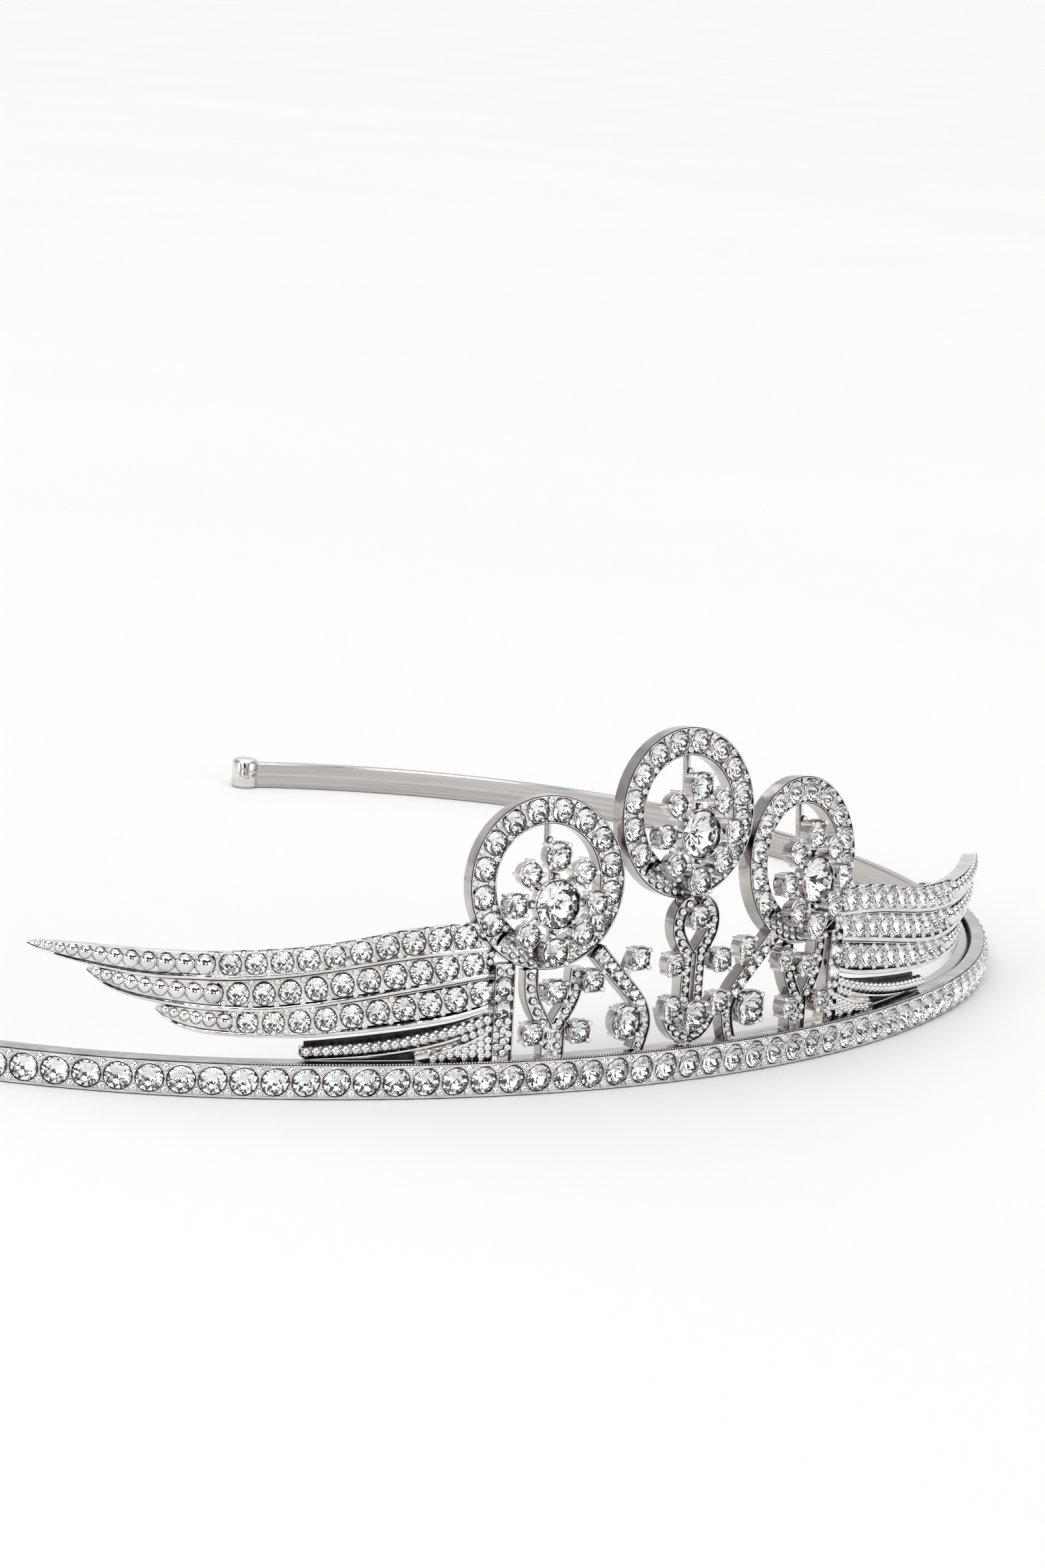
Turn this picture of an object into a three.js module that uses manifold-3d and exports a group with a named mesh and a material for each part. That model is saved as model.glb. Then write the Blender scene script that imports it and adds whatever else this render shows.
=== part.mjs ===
// Bridal tiara: a sprung headband with a crystal rail in front of it, and an openwork
// crest of three round medallions, standing stems and two layered wings.
// Units are millimetres. +Z is up, the front of the tiara faces -Y, +X is along its width.

import * as THREE from 'three';
import { mergeVertices } from 'three/addons/utils/BufferGeometryUtils.js';
import Module from 'manifold-3d';

const wasm = await Module();
wasm.setup();

// ---- Driving dimensions ------------------------------------------------------------------

// Plan of the rail's front face: a flatter front arc that runs into an arc on each side.
const FRONT_RADIUS = 97;
const FRONT_HALF_LENGTH = 45.4;
const SIDE_RADIUS = 65.5;
const SIDE_LENGTH = 151.6;
const BAND_HALF_LENGTH = FRONT_HALF_LENGTH + SIDE_LENGTH;

// Rail and headband sections.
const RAIL_HEIGHT = 3.3;
const RAIL_DEPTH = 1.5;
const RAIL_HALF_LENGTH = 96;
const BAND_HEIGHT = 3.1;
const BAND_THICKNESS = 1.2;
const BAND_END_DIAMETER = 3.2;
const BAND_END_HEIGHT = 3.6;

// Named clearances.
const SOLDER_GAP = 0.3;
const STONE_CLEARANCE = 0.2;

// Crest: how far each family of pieces stands behind the rail's front, how much it leans
// back in degrees, and how thick it is.
const MEDALLION_SETBACK = 0.83;
const MEDALLION_LEAN = 5.9;
const STEM_SETBACK = 0.8;
const STEM_LEAN = 1;
const STEM_THICKNESS = 1.3;
const WING_SETBACK = 0.83;
const WING_LEAN = 5.9;
const WING_THICKNESS = 1.5;

// Medallions: a flat ring with a flower of eight settings in front of it. The stems carry
// them, so their heights above the rail are those of the stems' tops.
const RING_DIAMETER = 16.3;
const RING_WIDTH = 2.65;
const RING_THICKNESS = 1.5;
const RING_GAP = 1;
const CENTRE_STEM_TOP = 14;
const SIDE_STEM_TOP = 8.2;
const FLOWER_DROP = 1.5;
const FLOWER_BACK_GAP = 0.3;
const FLOWER_STONE = 4.4;
const TOP_STONE = 2.5;
const SIDE_STONE = 2.1;
const TOP_PETAL_GAP = 0.25;
const SIDE_PETAL_GAP = 0.2;
const FLOWER_BAR = 0.8;
const PIN_DIAMETER = 0.5;

// Settings and stones.
const CUP_WALL = 0.2;
const CUP_FLOOR = 0.25;
const STONE_CROWN = 0.22;
const STONE_TABLE = 0.55;
const STONE_PAVILION = 0.36;
const DEEPEST_PAVILION = 0.85;
const ROUND_STEPS = 12;

// Stems between the rail and the medallions.
const STRAND_WIDTH = 1.2;
const CUP_PROUD = 0.25;
const BRANCH_STONE = 3.2;
const STEM_STONE = 2;
const LOOP_STONE = 2.1;
const BASE_STONE = 2.6;
const SIDE_STEM_OFFSET = 0.55;
const SIDE_STEM_ARM = 2.6;
const BRANCH_OFFSET = 10.25;
const COLUMN_WIDTH = 1.9;

// Wings.
const WING_LENGTH = 44.2;

// ---- Places that follow from them ----------------------------------------------------------

const cupRadius = (diameter) => diameter / 2 + STONE_CLEARANCE + CUP_WALL;
const RING_RADIUS = RING_DIAMETER / 2;
const CENTRE_RING_HEIGHT = CENTRE_STEM_TOP + RING_RADIUS;
const SIDE_RING_HEIGHT = SIDE_STEM_TOP + RING_RADIUS;
const SIDE_RING_SPACING = Math.sqrt(
  (RING_DIAMETER + RING_GAP) ** 2 - (CENTRE_RING_HEIGHT - SIDE_RING_HEIGHT) ** 2,
);
const CUP_HEIGHT = DEEPEST_PAVILION + STONE_CLEARANCE + CUP_FLOOR;
const TOP_STONE_REACH = cupRadius(FLOWER_STONE) + TOP_PETAL_GAP + cupRadius(TOP_STONE);
const SIDE_STONE_REACH = cupRadius(FLOWER_STONE) + SIDE_PETAL_GAP + cupRadius(SIDE_STONE);
const DIAGONAL_STONE_REACH = cupRadius(FLOWER_STONE) + cupRadius(SIDE_STONE);
const SIDE_STEM_SPACING = SIDE_RING_SPACING - SIDE_STEM_OFFSET;
const BRANCH_SPACING = SIDE_RING_SPACING - BRANCH_OFFSET;
const COLUMN_INNER_EDGE = SIDE_STEM_SPACING + SIDE_STEM_ARM + cupRadius(STEM_STONE) + SOLDER_GAP;
const COLUMN_SPACING = COLUMN_INNER_EDGE + COLUMN_WIDTH / 2;
const WING_ROOT = COLUMN_INNER_EDGE + COLUMN_WIDTH + SOLDER_GAP;
const WING_TIP = WING_ROOT + WING_LENGTH;

const LEFT = -1;
const RIGHT = 1;
const SIDES = [['left', LEFT], ['right', RIGHT]];

// ---- Materials ---------------------------------------------------------------------------

const metal = (name, colour, roughness) => {
  const material = new THREE.MeshStandardMaterial({ color: colour, roughness, metalness: 1 });
  material.name = name;
  return material;
};
const bandMetal = metal('band_metal', 0xc9c7c4, 0.22);
const castMetal = metal('cast_metal', 0xd6d5d3, 0.12);
const crystal = new THREE.MeshStandardMaterial({ color: 0xf4f8fb, roughness: 0.02, metalness: 0 });
crystal.name = 'crystal';

// ---- Geometry helpers --------------------------------------------------------------------

const radians = THREE.MathUtils.degToRad;

// Leaves only positions, with shared corners joined, so that a shape is one closed surface.
function closed(geometry) {
  geometry.deleteAttribute('normal');
  geometry.deleteAttribute('uv');
  return mergeVertices(geometry, 1e-4);
}

function toSolid(geometry) {
  const shape = closed(geometry);
  return new wasm.Manifold(new wasm.Mesh({
    numProp: 3,
    vertProperties: new Float32Array(shape.attributes.position.array),
    triVerts: new Uint32Array(shape.index.array),
  }));
}

function toGeometry(solid) {
  const mesh = solid.getMesh();
  const geometry = new THREE.BufferGeometry();
  geometry.setAttribute('position', new THREE.BufferAttribute(mesh.vertProperties, 3));
  geometry.setIndex(new THREE.BufferAttribute(mesh.triVerts, 1));
  return geometry;
}

// Joins overlapping shapes into one body, then cuts others out of it.
function joined(shapes, cuts = []) {
  const whole = shapes.map(toSolid).reduce((body, shape) => body.add(shape));
  return toGeometry(cuts.map(toSolid).reduce((body, cut) => body.subtract(cut), whole));
}

// Mirrors a closed shape left to right and keeps its faces pointing out.
function mirrored(geometry) {
  const copy = geometry.clone();
  copy.scale(-1, 1, 1);
  const order = copy.index.array;
  for (let i = 0; i < order.length; i += 3) {
    [order[i], order[i + 1]] = [order[i + 1], order[i]];
  }
  return copy;
}

// A bar with a step along its length: place(along, depth, up) gives each corner its position,
// with along from 0 to 1, depth 0 at the front and 1 at the back, and up from 0 to 1.
function bar(steps, place) {
  const geometry = new THREE.BoxGeometry(1, 1, 1, steps, 1, 1);
  const corners = geometry.attributes.position;
  for (let i = 0; i < corners.count; i += 1) {
    const point = place(corners.getX(i) + 0.5, corners.getY(i) + 0.5, corners.getZ(i) + 0.5);
    corners.setXYZ(i, point.x, point.y, point.z);
  }
  return closed(geometry);
}

// ---- Plan of the band --------------------------------------------------------------------

// Position and heading on the plan, at a distance along it from the front centre.
function planAt(distance) {
  const side = distance < 0 ? LEFT : RIGHT;
  const arcs = [[FRONT_RADIUS, FRONT_HALF_LENGTH], [SIDE_RADIUS, SIDE_LENGTH]];
  let left = Math.abs(distance);
  let heading = 0;
  let x = 0;
  let y = 0;
  for (const [radius, length] of arcs) {
    const turn = Math.min(left, length) / radius;
    x += radius * (Math.sin(heading + turn) - Math.sin(heading));
    y += radius * (Math.cos(heading) - Math.cos(heading + turn));
    heading += turn;
    left -= Math.min(left, length);
  }
  return { x: side * x, y, heading: side * heading };
}

// A point beside the plan: distance along it, depth behind the rail's front face, height.
function bandPoint(distance, depth, height) {
  const { x, y, heading } = planAt(distance);
  const inward = new THREE.Vector3(-Math.sin(heading), Math.cos(heading), 0);
  return new THREE.Vector3(x, y, height).addScaledVector(inward, depth);
}

// The same on a crest that leans back from the rail's top front edge. Its heights are
// measured from the rail's top.
function crestPoint(distance, depth, rise, lean) {
  const angle = radians(lean);
  const back = depth * Math.cos(angle) + rise * Math.sin(angle);
  const up = rise * Math.cos(angle) - depth * Math.sin(angle);
  return bandPoint(distance, back, RAIL_HEIGHT + up);
}

// Stands a flat piece on the rail. Its own x runs along the rail, y backwards and z up
// from the rail's top.
function stand(mesh, { distance, setback, lean }) {
  const { x, y, heading } = planAt(distance);
  const base = new THREE.Group();
  base.position.set(x, y, RAIL_HEIGHT);
  base.rotation.z = heading;
  mesh.position.y = setback;
  mesh.rotation.x = -radians(lean);
  base.add(mesh);
  return base;
}

// ---- Stones and their settings -----------------------------------------------------------

// A turned body from [radius, height] places, its axis laid so that up becomes forwards (-y).
function turned(profile) {
  const places = profile.map(([radius, height]) => new THREE.Vector2(radius, height));
  const shape = new THREE.LatheGeometry(places, ROUND_STEPS);
  shape.rotateX(Math.PI);
  return closed(shape);
}

// How far a stone reaches behind its girdle. Large stones are cut shallow, to suit their cups.
const pavilionOf = (diameter) => Math.min(STONE_PAVILION * diameter, DEEPEST_PAVILION);

// A round stone that looks forwards (-y), with its girdle at y = 0.
function stone(diameter) {
  const radius = diameter / 2;
  const profile = [
    [0, -pavilionOf(diameter)],
    [radius, 0],
    [radius, STONE_CROWN * radius / 2],
    [radius * STONE_TABLE, STONE_CROWN * diameter],
    [0, STONE_CROWN * diameter],
  ];
  return turned(profile);
}

// The outside of a round cup, its front at y = 0.
function cup(diameter) {
  const outer = cupRadius(diameter);
  return turned([[0, -CUP_HEIGHT], [outer, -CUP_HEIGHT], [outer, 0], [0, 0]]);
}

// The seat to cut in a cup: the stone's shape with its clearance, open to the front.
function seat(diameter) {
  const inner = diameter / 2 + STONE_CLEARANCE;
  const open = diameter / 2;
  return turned([[0, -pavilionOf(diameter) - STONE_CLEARANCE], [inner, 0], [inner, open], [0, open]]);
}

// A straight square bar from one (x, z) place to another.
function straight(from, to, width, front, back) {
  return strand([from, to], width, front, back, 1);
}

// A flat strand along a smooth line of (x, z) places, between two depths.
function strand(places, width, front, back, steps = 10) {
  const line = new THREE.CatmullRomCurve3(places.map(([x, z]) => new THREE.Vector3(x, 0, z)));
  return bar(steps, (along, depth, up) => {
    const point = line.getPoint(along);
    const way = line.getTangent(along);
    const across = (up - 0.5) * width;
    return new THREE.Vector3(
      point.x - way.z * across,
      front + (back - front) * depth,
      point.z + way.x * across,
    );
  });
}

// A casting: its strands and bars, and a cup with a seat for each [diameter, x, z] setting,
// standing proud of the strands by a little.
function casting(strands, settings, proud) {
  const put = (shape, x, z) => shape.translate(x, -proud, z);
  const cups = settings.map(([diameter, x, z]) => put(cup(diameter), x, z));
  const seats = settings.map(([diameter, x, z]) => put(seat(diameter), x, z));
  return joined([...strands, ...cups], seats);
}

// ---- Headband and rail -------------------------------------------------------------------

const BAND_FRONT = RAIL_DEPTH + SOLDER_GAP;

function headband() {
  const strip = bar(96, (along, depth, up) => bandPoint(
    (2 * along - 1) * BAND_HALF_LENGTH,
    BAND_FRONT + BAND_THICKNESS * depth,
    BAND_HEIGHT * up,
  ));
  const ends = [LEFT, RIGHT].map((side) => {
    const centre = bandPoint(side * BAND_HALF_LENGTH, BAND_FRONT + BAND_THICKNESS / 2, 0);
    const end = new THREE.CylinderGeometry(
      BAND_END_DIAMETER / 2,
      BAND_END_DIAMETER / 2,
      BAND_END_HEIGHT,
      16,
    );
    end.rotateX(Math.PI / 2);
    end.translate(centre.x, centre.y, BAND_END_HEIGHT / 2);
    return end;
  });
  return joined([strip, ...ends]);
}

function crystalRail() {
  return bar(64, (along, depth, up) => bandPoint(
    (2 * along - 1) * RAIL_HALF_LENGTH,
    RAIL_DEPTH * depth,
    RAIL_HEIGHT * up,
  ));
}

// ---- Medallions --------------------------------------------------------------------------

const FLOWER_GIRDLE = -(FLOWER_BACK_GAP + CUP_HEIGHT);

// Petal stones of a flower: name, direction in degrees from +x, reach from the centre, size.
const PETALS = [
  ['east', 0, SIDE_STONE_REACH, SIDE_STONE],
  ['north_east', 45, DIAGONAL_STONE_REACH, SIDE_STONE],
  ['north', 90, TOP_STONE_REACH, TOP_STONE],
  ['north_west', 135, DIAGONAL_STONE_REACH, SIDE_STONE],
  ['west', 180, SIDE_STONE_REACH, SIDE_STONE],
  ['south_west', 225, DIAGONAL_STONE_REACH, SIDE_STONE],
  ['south', 270, TOP_STONE_REACH, TOP_STONE],
  ['south_east', 315, DIAGONAL_STONE_REACH, SIDE_STONE],
];

function ring(height) {
  const outline = new THREE.Shape().absarc(0, 0, RING_RADIUS, 0, Math.PI * 2, false);
  outline.holes.push(new THREE.Path().absarc(0, 0, RING_RADIUS - RING_WIDTH, 0, Math.PI * 2, true));
  const plate = new THREE.ExtrudeGeometry(outline, {
    depth: RING_THICKNESS,
    bevelEnabled: false,
    curveSegments: 40,
  });
  plate.rotateX(Math.PI / 2);
  plate.translate(0, RING_THICKNESS, height);
  return closed(plate);
}

function flowerFrame(height) {
  const settings = [[FLOWER_STONE, 0, 0]];
  const bars = [];
  for (const [, direction, reach, diameter] of PETALS) {
    const x = Math.cos(radians(direction));
    const z = Math.sin(radians(direction));
    settings.push([diameter, reach * x, reach * z]);
    const end = [reach * x, reach * z];
    bars.push(straight([0, 0], end, FLOWER_BAR, CUP_HEIGHT / 2, CUP_HEIGHT));
  }
  const frame = casting(bars, settings, 0);
  frame.translate(0, FLOWER_GIRDLE, height - FLOWER_DROP);
  return frame;
}

// The pin hangs from the inside of the ring and ends behind the flower's top setting.
function hangerPin(height) {
  const top = height + RING_RADIUS - RING_WIDTH - SOLDER_GAP;
  const bottom = height - FLOWER_DROP + TOP_STONE_REACH;
  const pin = new THREE.CylinderGeometry(PIN_DIAMETER / 2, PIN_DIAMETER / 2, top - bottom, 10);
  pin.rotateX(Math.PI / 2);
  pin.translate(0, PIN_DIAMETER, (top + bottom) / 2);
  return closed(pin);
}

// ---- Stems -------------------------------------------------------------------------------

const FOOT = SOLDER_GAP;

// Settings that carry a stone of their own: its size and its place on the stem.
const CENTRE_LOOP_SETTING = [LOOP_STONE, 0, 12.5];
const CENTRE_BASE_SETTING = [BASE_STONE, 0, 2.9];
const BRANCH_SETTING = [BRANCH_STONE, 2.05, 2.6];

const stemStrand = (places, steps) => strand(places, STRAND_WIDTH, 0, STEM_THICKNESS, steps);
const stemBar = (from, to) => straight(from, to, STRAND_WIDTH, STEM_THICKNESS / 3, STEM_THICKNESS * 0.95);
const stemFoot = (top) => straight([0, top], [0, FOOT], STRAND_WIDTH * 2, 0.1, STEM_THICKNESS * 0.9);

function centreStem() {
  const strands = [
    stemBar([-2.5, 8.2], [2.5, 8.2]),
    stemFoot(2.8),
  ];
  const settings = [CENTRE_LOOP_SETTING, CENTRE_BASE_SETTING];
  for (const side of [LEFT, RIGHT]) {
    const loop = [[0.6, 8.8], [1.4, 9.8], [2, 10.9], [2.15, 12], [1.9, 12.9], [1.3, 13.2]];
    const base = [[0.2, 0.7], [1.3, 1.1], [2.4, 2.2], [3.05, 4.1]];
    const at = ([x, z]) => [side * x, z];
    strands.push(
      stemStrand(loop.map(at)),
      stemStrand(base.map(at)),
      stemStrand([at([0.83, 8.9]), at([0.83, 3.4])], 1),
    );
    settings.push([STEM_STONE, side * 2.9, 8.2], [STEM_STONE, side * 3.05, 4.1]);
  }
  return casting(strands, settings, CUP_PROUD);
}

function sideStem() {
  const strands = [
    stemBar([-2.1, 6.2], [2.1, 6.2]),
    stemBar([-SIDE_STEM_ARM, 2.6], [SIDE_STEM_ARM, 2.6]),
    stemBar([-2.1, 6.5], [-3.8, 7.2]),
    stemFoot(3.2),
  ];
  const settings = [[LOOP_STONE, 0, 6.2], [STEM_STONE, -3.9, 7.3]];
  for (const side of [LEFT, RIGHT]) {
    const loop = [[0.66, 2.8], [1.3, 4], [1.95, 5], [2.3, 6.15], [2.35, 7.6]];
    strands.push(stemStrand(loop.map(([x, z]) => [side * x, z])));
    settings.push([STEM_STONE, side * SIDE_STEM_ARM, 2.6]);
  }
  return casting(strands, settings, CUP_PROUD);
}

// A branch climbs from the rail, past its large stone, to the ring of the side medallion.
function branch() {
  const low = [[0.1, FOOT], [-0.2, 1.4], [-0.3, 2.7], [0.1, 4.1]];
  const climb = [...low, [0.9, 5.4], [1.9, 6.7], [3.2, 8], [4.5, 9.3]];
  const strands = [stemStrand(climb, 14), stemBar([0.4, 9.2], [1.9, 6.8])];
  return casting(strands, [BRANCH_SETTING, [STEM_STONE, 0.4, 9.25]], CUP_PROUD);
}

// The column ends just under the ring.
function column() {
  const aside = COLUMN_INNER_EDGE - SIDE_RING_SPACING;
  const ringEdge = SIDE_RING_HEIGHT - Math.sqrt(RING_RADIUS ** 2 - aside ** 2);
  const top = Math.max(ringEdge - SOLDER_GAP, 4 * FOOT);
  return closed(straight([0, FOOT], [0, top], COLUMN_WIDTH, 0, STEM_THICKNESS));
}

// ---- Wings -------------------------------------------------------------------------------

// Edges between the feathers, each from its tip to the root: share of the wing's length from
// the root, and height above the rail.
const UPPER_EDGE = [[1, 10], [0.69, 9.85], [0.54, 10.05], [0.35, 10.8], [0.17, 12.3], [-0.02, 12.9]];
const FIRST_EDGE = [[1, 9.45], [0.81, 7.8], [0.69, 7.35], [0.47, 7.7], [0.17, 9.6], [-0.02, 10.15]];
const SECOND_TIP = [[0.87, 7.4], [0.82, 6.2], [0.74, 5.3]];
const SECOND_EDGE = [...SECOND_TIP, [0.6, 4.6], [0.45, 4.7], [0.17, 6.6], [-0.02, 7.85]];
const THIRD_EDGE = [[0.72, 4.2], [0.67, 3.1], [0.6, 2.5], [0.46, 2.2], [0.34, 2.5], [0.1, 3.7], [-0.02, 4.9]];
const QUILL_EDGE = [[0.41, 0.55], [0.3, 0.8], [0.22, 1.2], [0.15, 1.7], [0.06, 2.6], [-0.02, 3.3]];
const RAIL_EDGE = [[0.21, FOOT], [-0.02, FOOT]];

// Height of an edge at a share of the wing's length.
function heightAt(edge, share) {
  const line = new THREE.SplineCurve(edge.map(([across, rise]) => new THREE.Vector2(across, rise)));
  let low = 0;
  let high = 1;
  for (let i = 0; i < 24; i += 1) {
    const middle = (low + high) / 2;
    if (line.getPoint(middle).x > share) low = middle;
    else high = middle;
  }
  return line.getPoint(low).y;
}

// One feather between two edges, from its root to its tip. rootAt(up) gives the distance
// along the rail where it ends.
function feather(top, bottom, rootAt, steps = 22) {
  const tip = WING_ROOT + WING_LENGTH * Math.min(top[0][0], bottom[0][0]);
  return bar(steps, (along, depth, up) => {
    const distance = THREE.MathUtils.lerp(rootAt(up), tip, along);
    const share = (distance - WING_ROOT) / WING_LENGTH;
    const low = heightAt(bottom, share) + SOLDER_GAP / 2;
    const high = Math.max(heightAt(top, share) - SOLDER_GAP / 2, low + SOLDER_GAP);
    const rise = THREE.MathUtils.lerp(low, high, up);
    return crestPoint(distance, WING_SETBACK + WING_THICKNESS * depth, rise, WING_LEAN);
  });
}

// The upper feather stops short of the medallion's ring.
function ringSide(up) {
  const rise = THREE.MathUtils.lerp(heightAt(FIRST_EDGE, 0), heightAt(UPPER_EDGE, 0), up);
  const radius = RING_RADIUS + SOLDER_GAP * 1.5;
  const drop = Math.min(Math.abs(SIDE_RING_HEIGHT - rise), radius);
  return Math.max(SIDE_RING_SPACING + Math.sqrt(radius ** 2 - drop ** 2), WING_ROOT);
}

const atRoot = () => WING_ROOT;
const WING_PIECES = {
  upper_feather: () => feather(UPPER_EDGE, FIRST_EDGE, ringSide),
  middle_feather: () => feather(FIRST_EDGE, SECOND_EDGE, atRoot),
  lower_feather: () => feather(SECOND_EDGE, THIRD_EDGE, atRoot),
  quill: () => feather(THIRD_EDGE, QUILL_EDGE, atRoot, 12),
  fan: () => feather(QUILL_EDGE, RAIL_EDGE, atRoot, 6),
};

// ---- Assembly ----------------------------------------------------------------------------

const tiara = new THREE.Group();

function piece(name, geometry, material) {
  const mesh = new THREE.Mesh(geometry, material);
  mesh.name = name;
  return mesh;
}

// Puts a loose stone into a setting of a piece that stands at a place, at the depth of the
// setting's front.
function setStone(name, place, [diameter, x, z], depth) {
  const loose = stone(diameter);
  loose.translate(x, depth, z);
  tiara.add(stand(piece(name, loose, crystal), place));
}

tiara.add(piece('headband', headband(), bandMetal));
tiara.add(piece('crystal_rail', crystalRail(), castMetal));

const MEDALLIONS = [
  ['left', -SIDE_RING_SPACING, SIDE_RING_HEIGHT],
  ['centre', 0, CENTRE_RING_HEIGHT],
  ['right', SIDE_RING_SPACING, SIDE_RING_HEIGHT],
];
for (const [side, distance, height] of MEDALLIONS) {
  const place = { distance, setback: MEDALLION_SETBACK, lean: MEDALLION_LEAN };
  const add = (name, geometry) => {
    tiara.add(stand(piece(`${side}_${name}`, geometry, castMetal), place));
  };
  add('medallion_ring', ring(height));
  add('flower_setting', flowerFrame(height));
  add('hanger_pin', hangerPin(height));
  const middle = height - FLOWER_DROP;
  const set = (name, setting) => setStone(`${side}_${name}`, place, setting, FLOWER_GIRDLE);
  set('flower_stone', [FLOWER_STONE, 0, middle]);
  for (const [name, direction, reach, diameter] of PETALS) {
    const x = reach * Math.cos(radians(direction));
    const z = middle + reach * Math.sin(radians(direction));
    set(`petal_${name}`, [diameter, x, z]);
  }
}

const stemAt = (distance) => ({ distance, setback: STEM_SETBACK, lean: STEM_LEAN });
tiara.add(stand(piece('centre_stem', centreStem(), castMetal), stemAt(0)));
setStone('centre_loop_stone', stemAt(0), CENTRE_LOOP_SETTING, -CUP_PROUD);
setStone('centre_base_stone', stemAt(0), CENTRE_BASE_SETTING, -CUP_PROUD);

for (const [name, side] of SIDES) {
  const handed = (geometry) => (side === RIGHT ? geometry : mirrored(geometry));
  const raise = (label, geometry, distance) => {
    const stem = piece(`${name}_${label}`, handed(geometry), castMetal);
    tiara.add(stand(stem, stemAt(side * distance)));
  };
  raise('side_stem', sideStem(), SIDE_STEM_SPACING);
  raise('branch', branch(), BRANCH_SPACING);
  raise('column', column(), COLUMN_SPACING);
  const [diameter, x, z] = BRANCH_SETTING;
  const setting = [diameter, side * x, z];
  setStone(`${name}_branch_stone`, stemAt(side * BRANCH_SPACING), setting, -CUP_PROUD);
  for (const [label, make] of Object.entries(WING_PIECES)) {
    tiara.add(piece(`${name}_${label}`, handed(make()), castMetal));
  }
}

// The origin is the middle of the tiara's footprint, on the table.
const model = new THREE.Group();
model.add(tiara);
const box = new THREE.Box3().setFromObject(tiara);
const middle = box.getCenter(new THREE.Vector3());
tiara.position.set(-middle.x, -middle.y, -box.min.z);

export default model;
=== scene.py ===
import math

import bmesh
import bpy
from mathutils import Matrix, Vector


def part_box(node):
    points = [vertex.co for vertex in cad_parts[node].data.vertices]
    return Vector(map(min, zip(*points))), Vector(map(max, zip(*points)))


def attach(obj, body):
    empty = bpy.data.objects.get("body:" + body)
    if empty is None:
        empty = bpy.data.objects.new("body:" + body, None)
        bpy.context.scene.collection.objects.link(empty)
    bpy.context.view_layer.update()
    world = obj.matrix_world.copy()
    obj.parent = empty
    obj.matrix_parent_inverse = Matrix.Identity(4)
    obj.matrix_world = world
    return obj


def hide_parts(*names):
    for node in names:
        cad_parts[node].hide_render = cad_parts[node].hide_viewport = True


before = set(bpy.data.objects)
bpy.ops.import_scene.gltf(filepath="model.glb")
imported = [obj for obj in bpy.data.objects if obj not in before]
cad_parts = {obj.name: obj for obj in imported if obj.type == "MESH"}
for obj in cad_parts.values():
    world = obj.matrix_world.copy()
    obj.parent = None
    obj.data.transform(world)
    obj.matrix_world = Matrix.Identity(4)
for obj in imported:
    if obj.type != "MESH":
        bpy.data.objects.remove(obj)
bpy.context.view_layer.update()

# Everything below is worked out in millimetres and becomes metres when a mesh is made.
MM = 0.001
LEFT, RIGHT = -1, 1
SIDES = (("left", LEFT), ("right", RIGHT))

# ---- Sizes of the tiara --------------------------------------------------------------------

# Plan of the rail's front face: a flat front arc that runs into an arc on each side.
FRONT_RADIUS = 97.0
FRONT_HALF_LENGTH = 45.4
SIDE_RADIUS = 65.5
SIDE_LENGTH = 151.6
BAND_HALF_LENGTH = FRONT_HALF_LENGTH + SIDE_LENGTH

RAIL_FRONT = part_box("crystal_rail")[0][1] / MM
RAIL_HEIGHT = 3.3
RAIL_DEPTH = 1.5
RAIL_HALF_LENGTH = 96.0
RAIL_STONE = 2.5
RAIL_PITCH = 2.852
TOP_BEADS = 150  # on the rail's top edge, to each side of the middle one
TOP_BEAD_PITCH = 0.3
TOP_BEAD = 0.2
BAND_FRONT = 1.8
BAND_HEIGHT = 3.1
BAND_THICKNESS = 1.2
BAND_END_DIAMETER = 3.2
BAND_END_HEIGHT = 3.6

CREST_SETBACK = 0.83
CREST_LEAN = 5.9
STEM_SETBACK = 0.8
STEM_LEAN = 1.0
STEM_THICKNESS = 1.3
WING_THICKNESS = 1.5

RING_RADIUS = 8.15
RING_WIDTH = 2.65
RING_THICKNESS = 1.5
CENTRE_RING_HEIGHT = 14.0 + RING_RADIUS
SIDE_RING_HEIGHT = 8.2 + RING_RADIUS
RING_GAP = 1.0
SIDE_RING_SPACING = math.sqrt(
    (2 * RING_RADIUS + RING_GAP) ** 2 - (CENTRE_RING_HEIGHT - SIDE_RING_HEIGHT) ** 2)
FLOWER_DROP = 1.8
CUP_HEIGHT = 1.3
FLOWER_GIRDLE = -(0.45 + CUP_HEIGHT)
FLOWER_STONE = 4.4
UPRIGHT_STONE = 2.5
SIDE_STONE = 2.1
CUP_MARGIN = 0.4
SIDE_STEM_SPACING = SIDE_RING_SPACING - 0.55
BRANCH_SPACING = SIDE_RING_SPACING - 10.25
COLUMN_WIDTH = 1.9
COLUMN_INNER_EDGE = SIDE_STEM_SPACING + 2.6 + 1.4 + 0.3
WING_ROOT = COLUMN_INNER_EDGE + COLUMN_WIDTH + 0.3
WING_LENGTH = 44.2

# ---- Places on the tiara -------------------------------------------------------------------


def plan_at(distance):
    """Position and heading on the rail's front, at a distance along it from the front centre."""
    side = LEFT if distance < 0 else RIGHT
    left, heading, x, y = abs(distance), 0.0, 0.0, 0.0
    for radius, length in ((FRONT_RADIUS, FRONT_HALF_LENGTH), (SIDE_RADIUS, SIDE_LENGTH)):
        turn = min(left, length) / radius
        x += radius * (math.sin(heading + turn) - math.sin(heading))
        y += radius * (math.cos(heading) - math.cos(heading + turn))
        heading += turn
        left -= min(left, length)
    return side * x, y + RAIL_FRONT, side * heading


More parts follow.
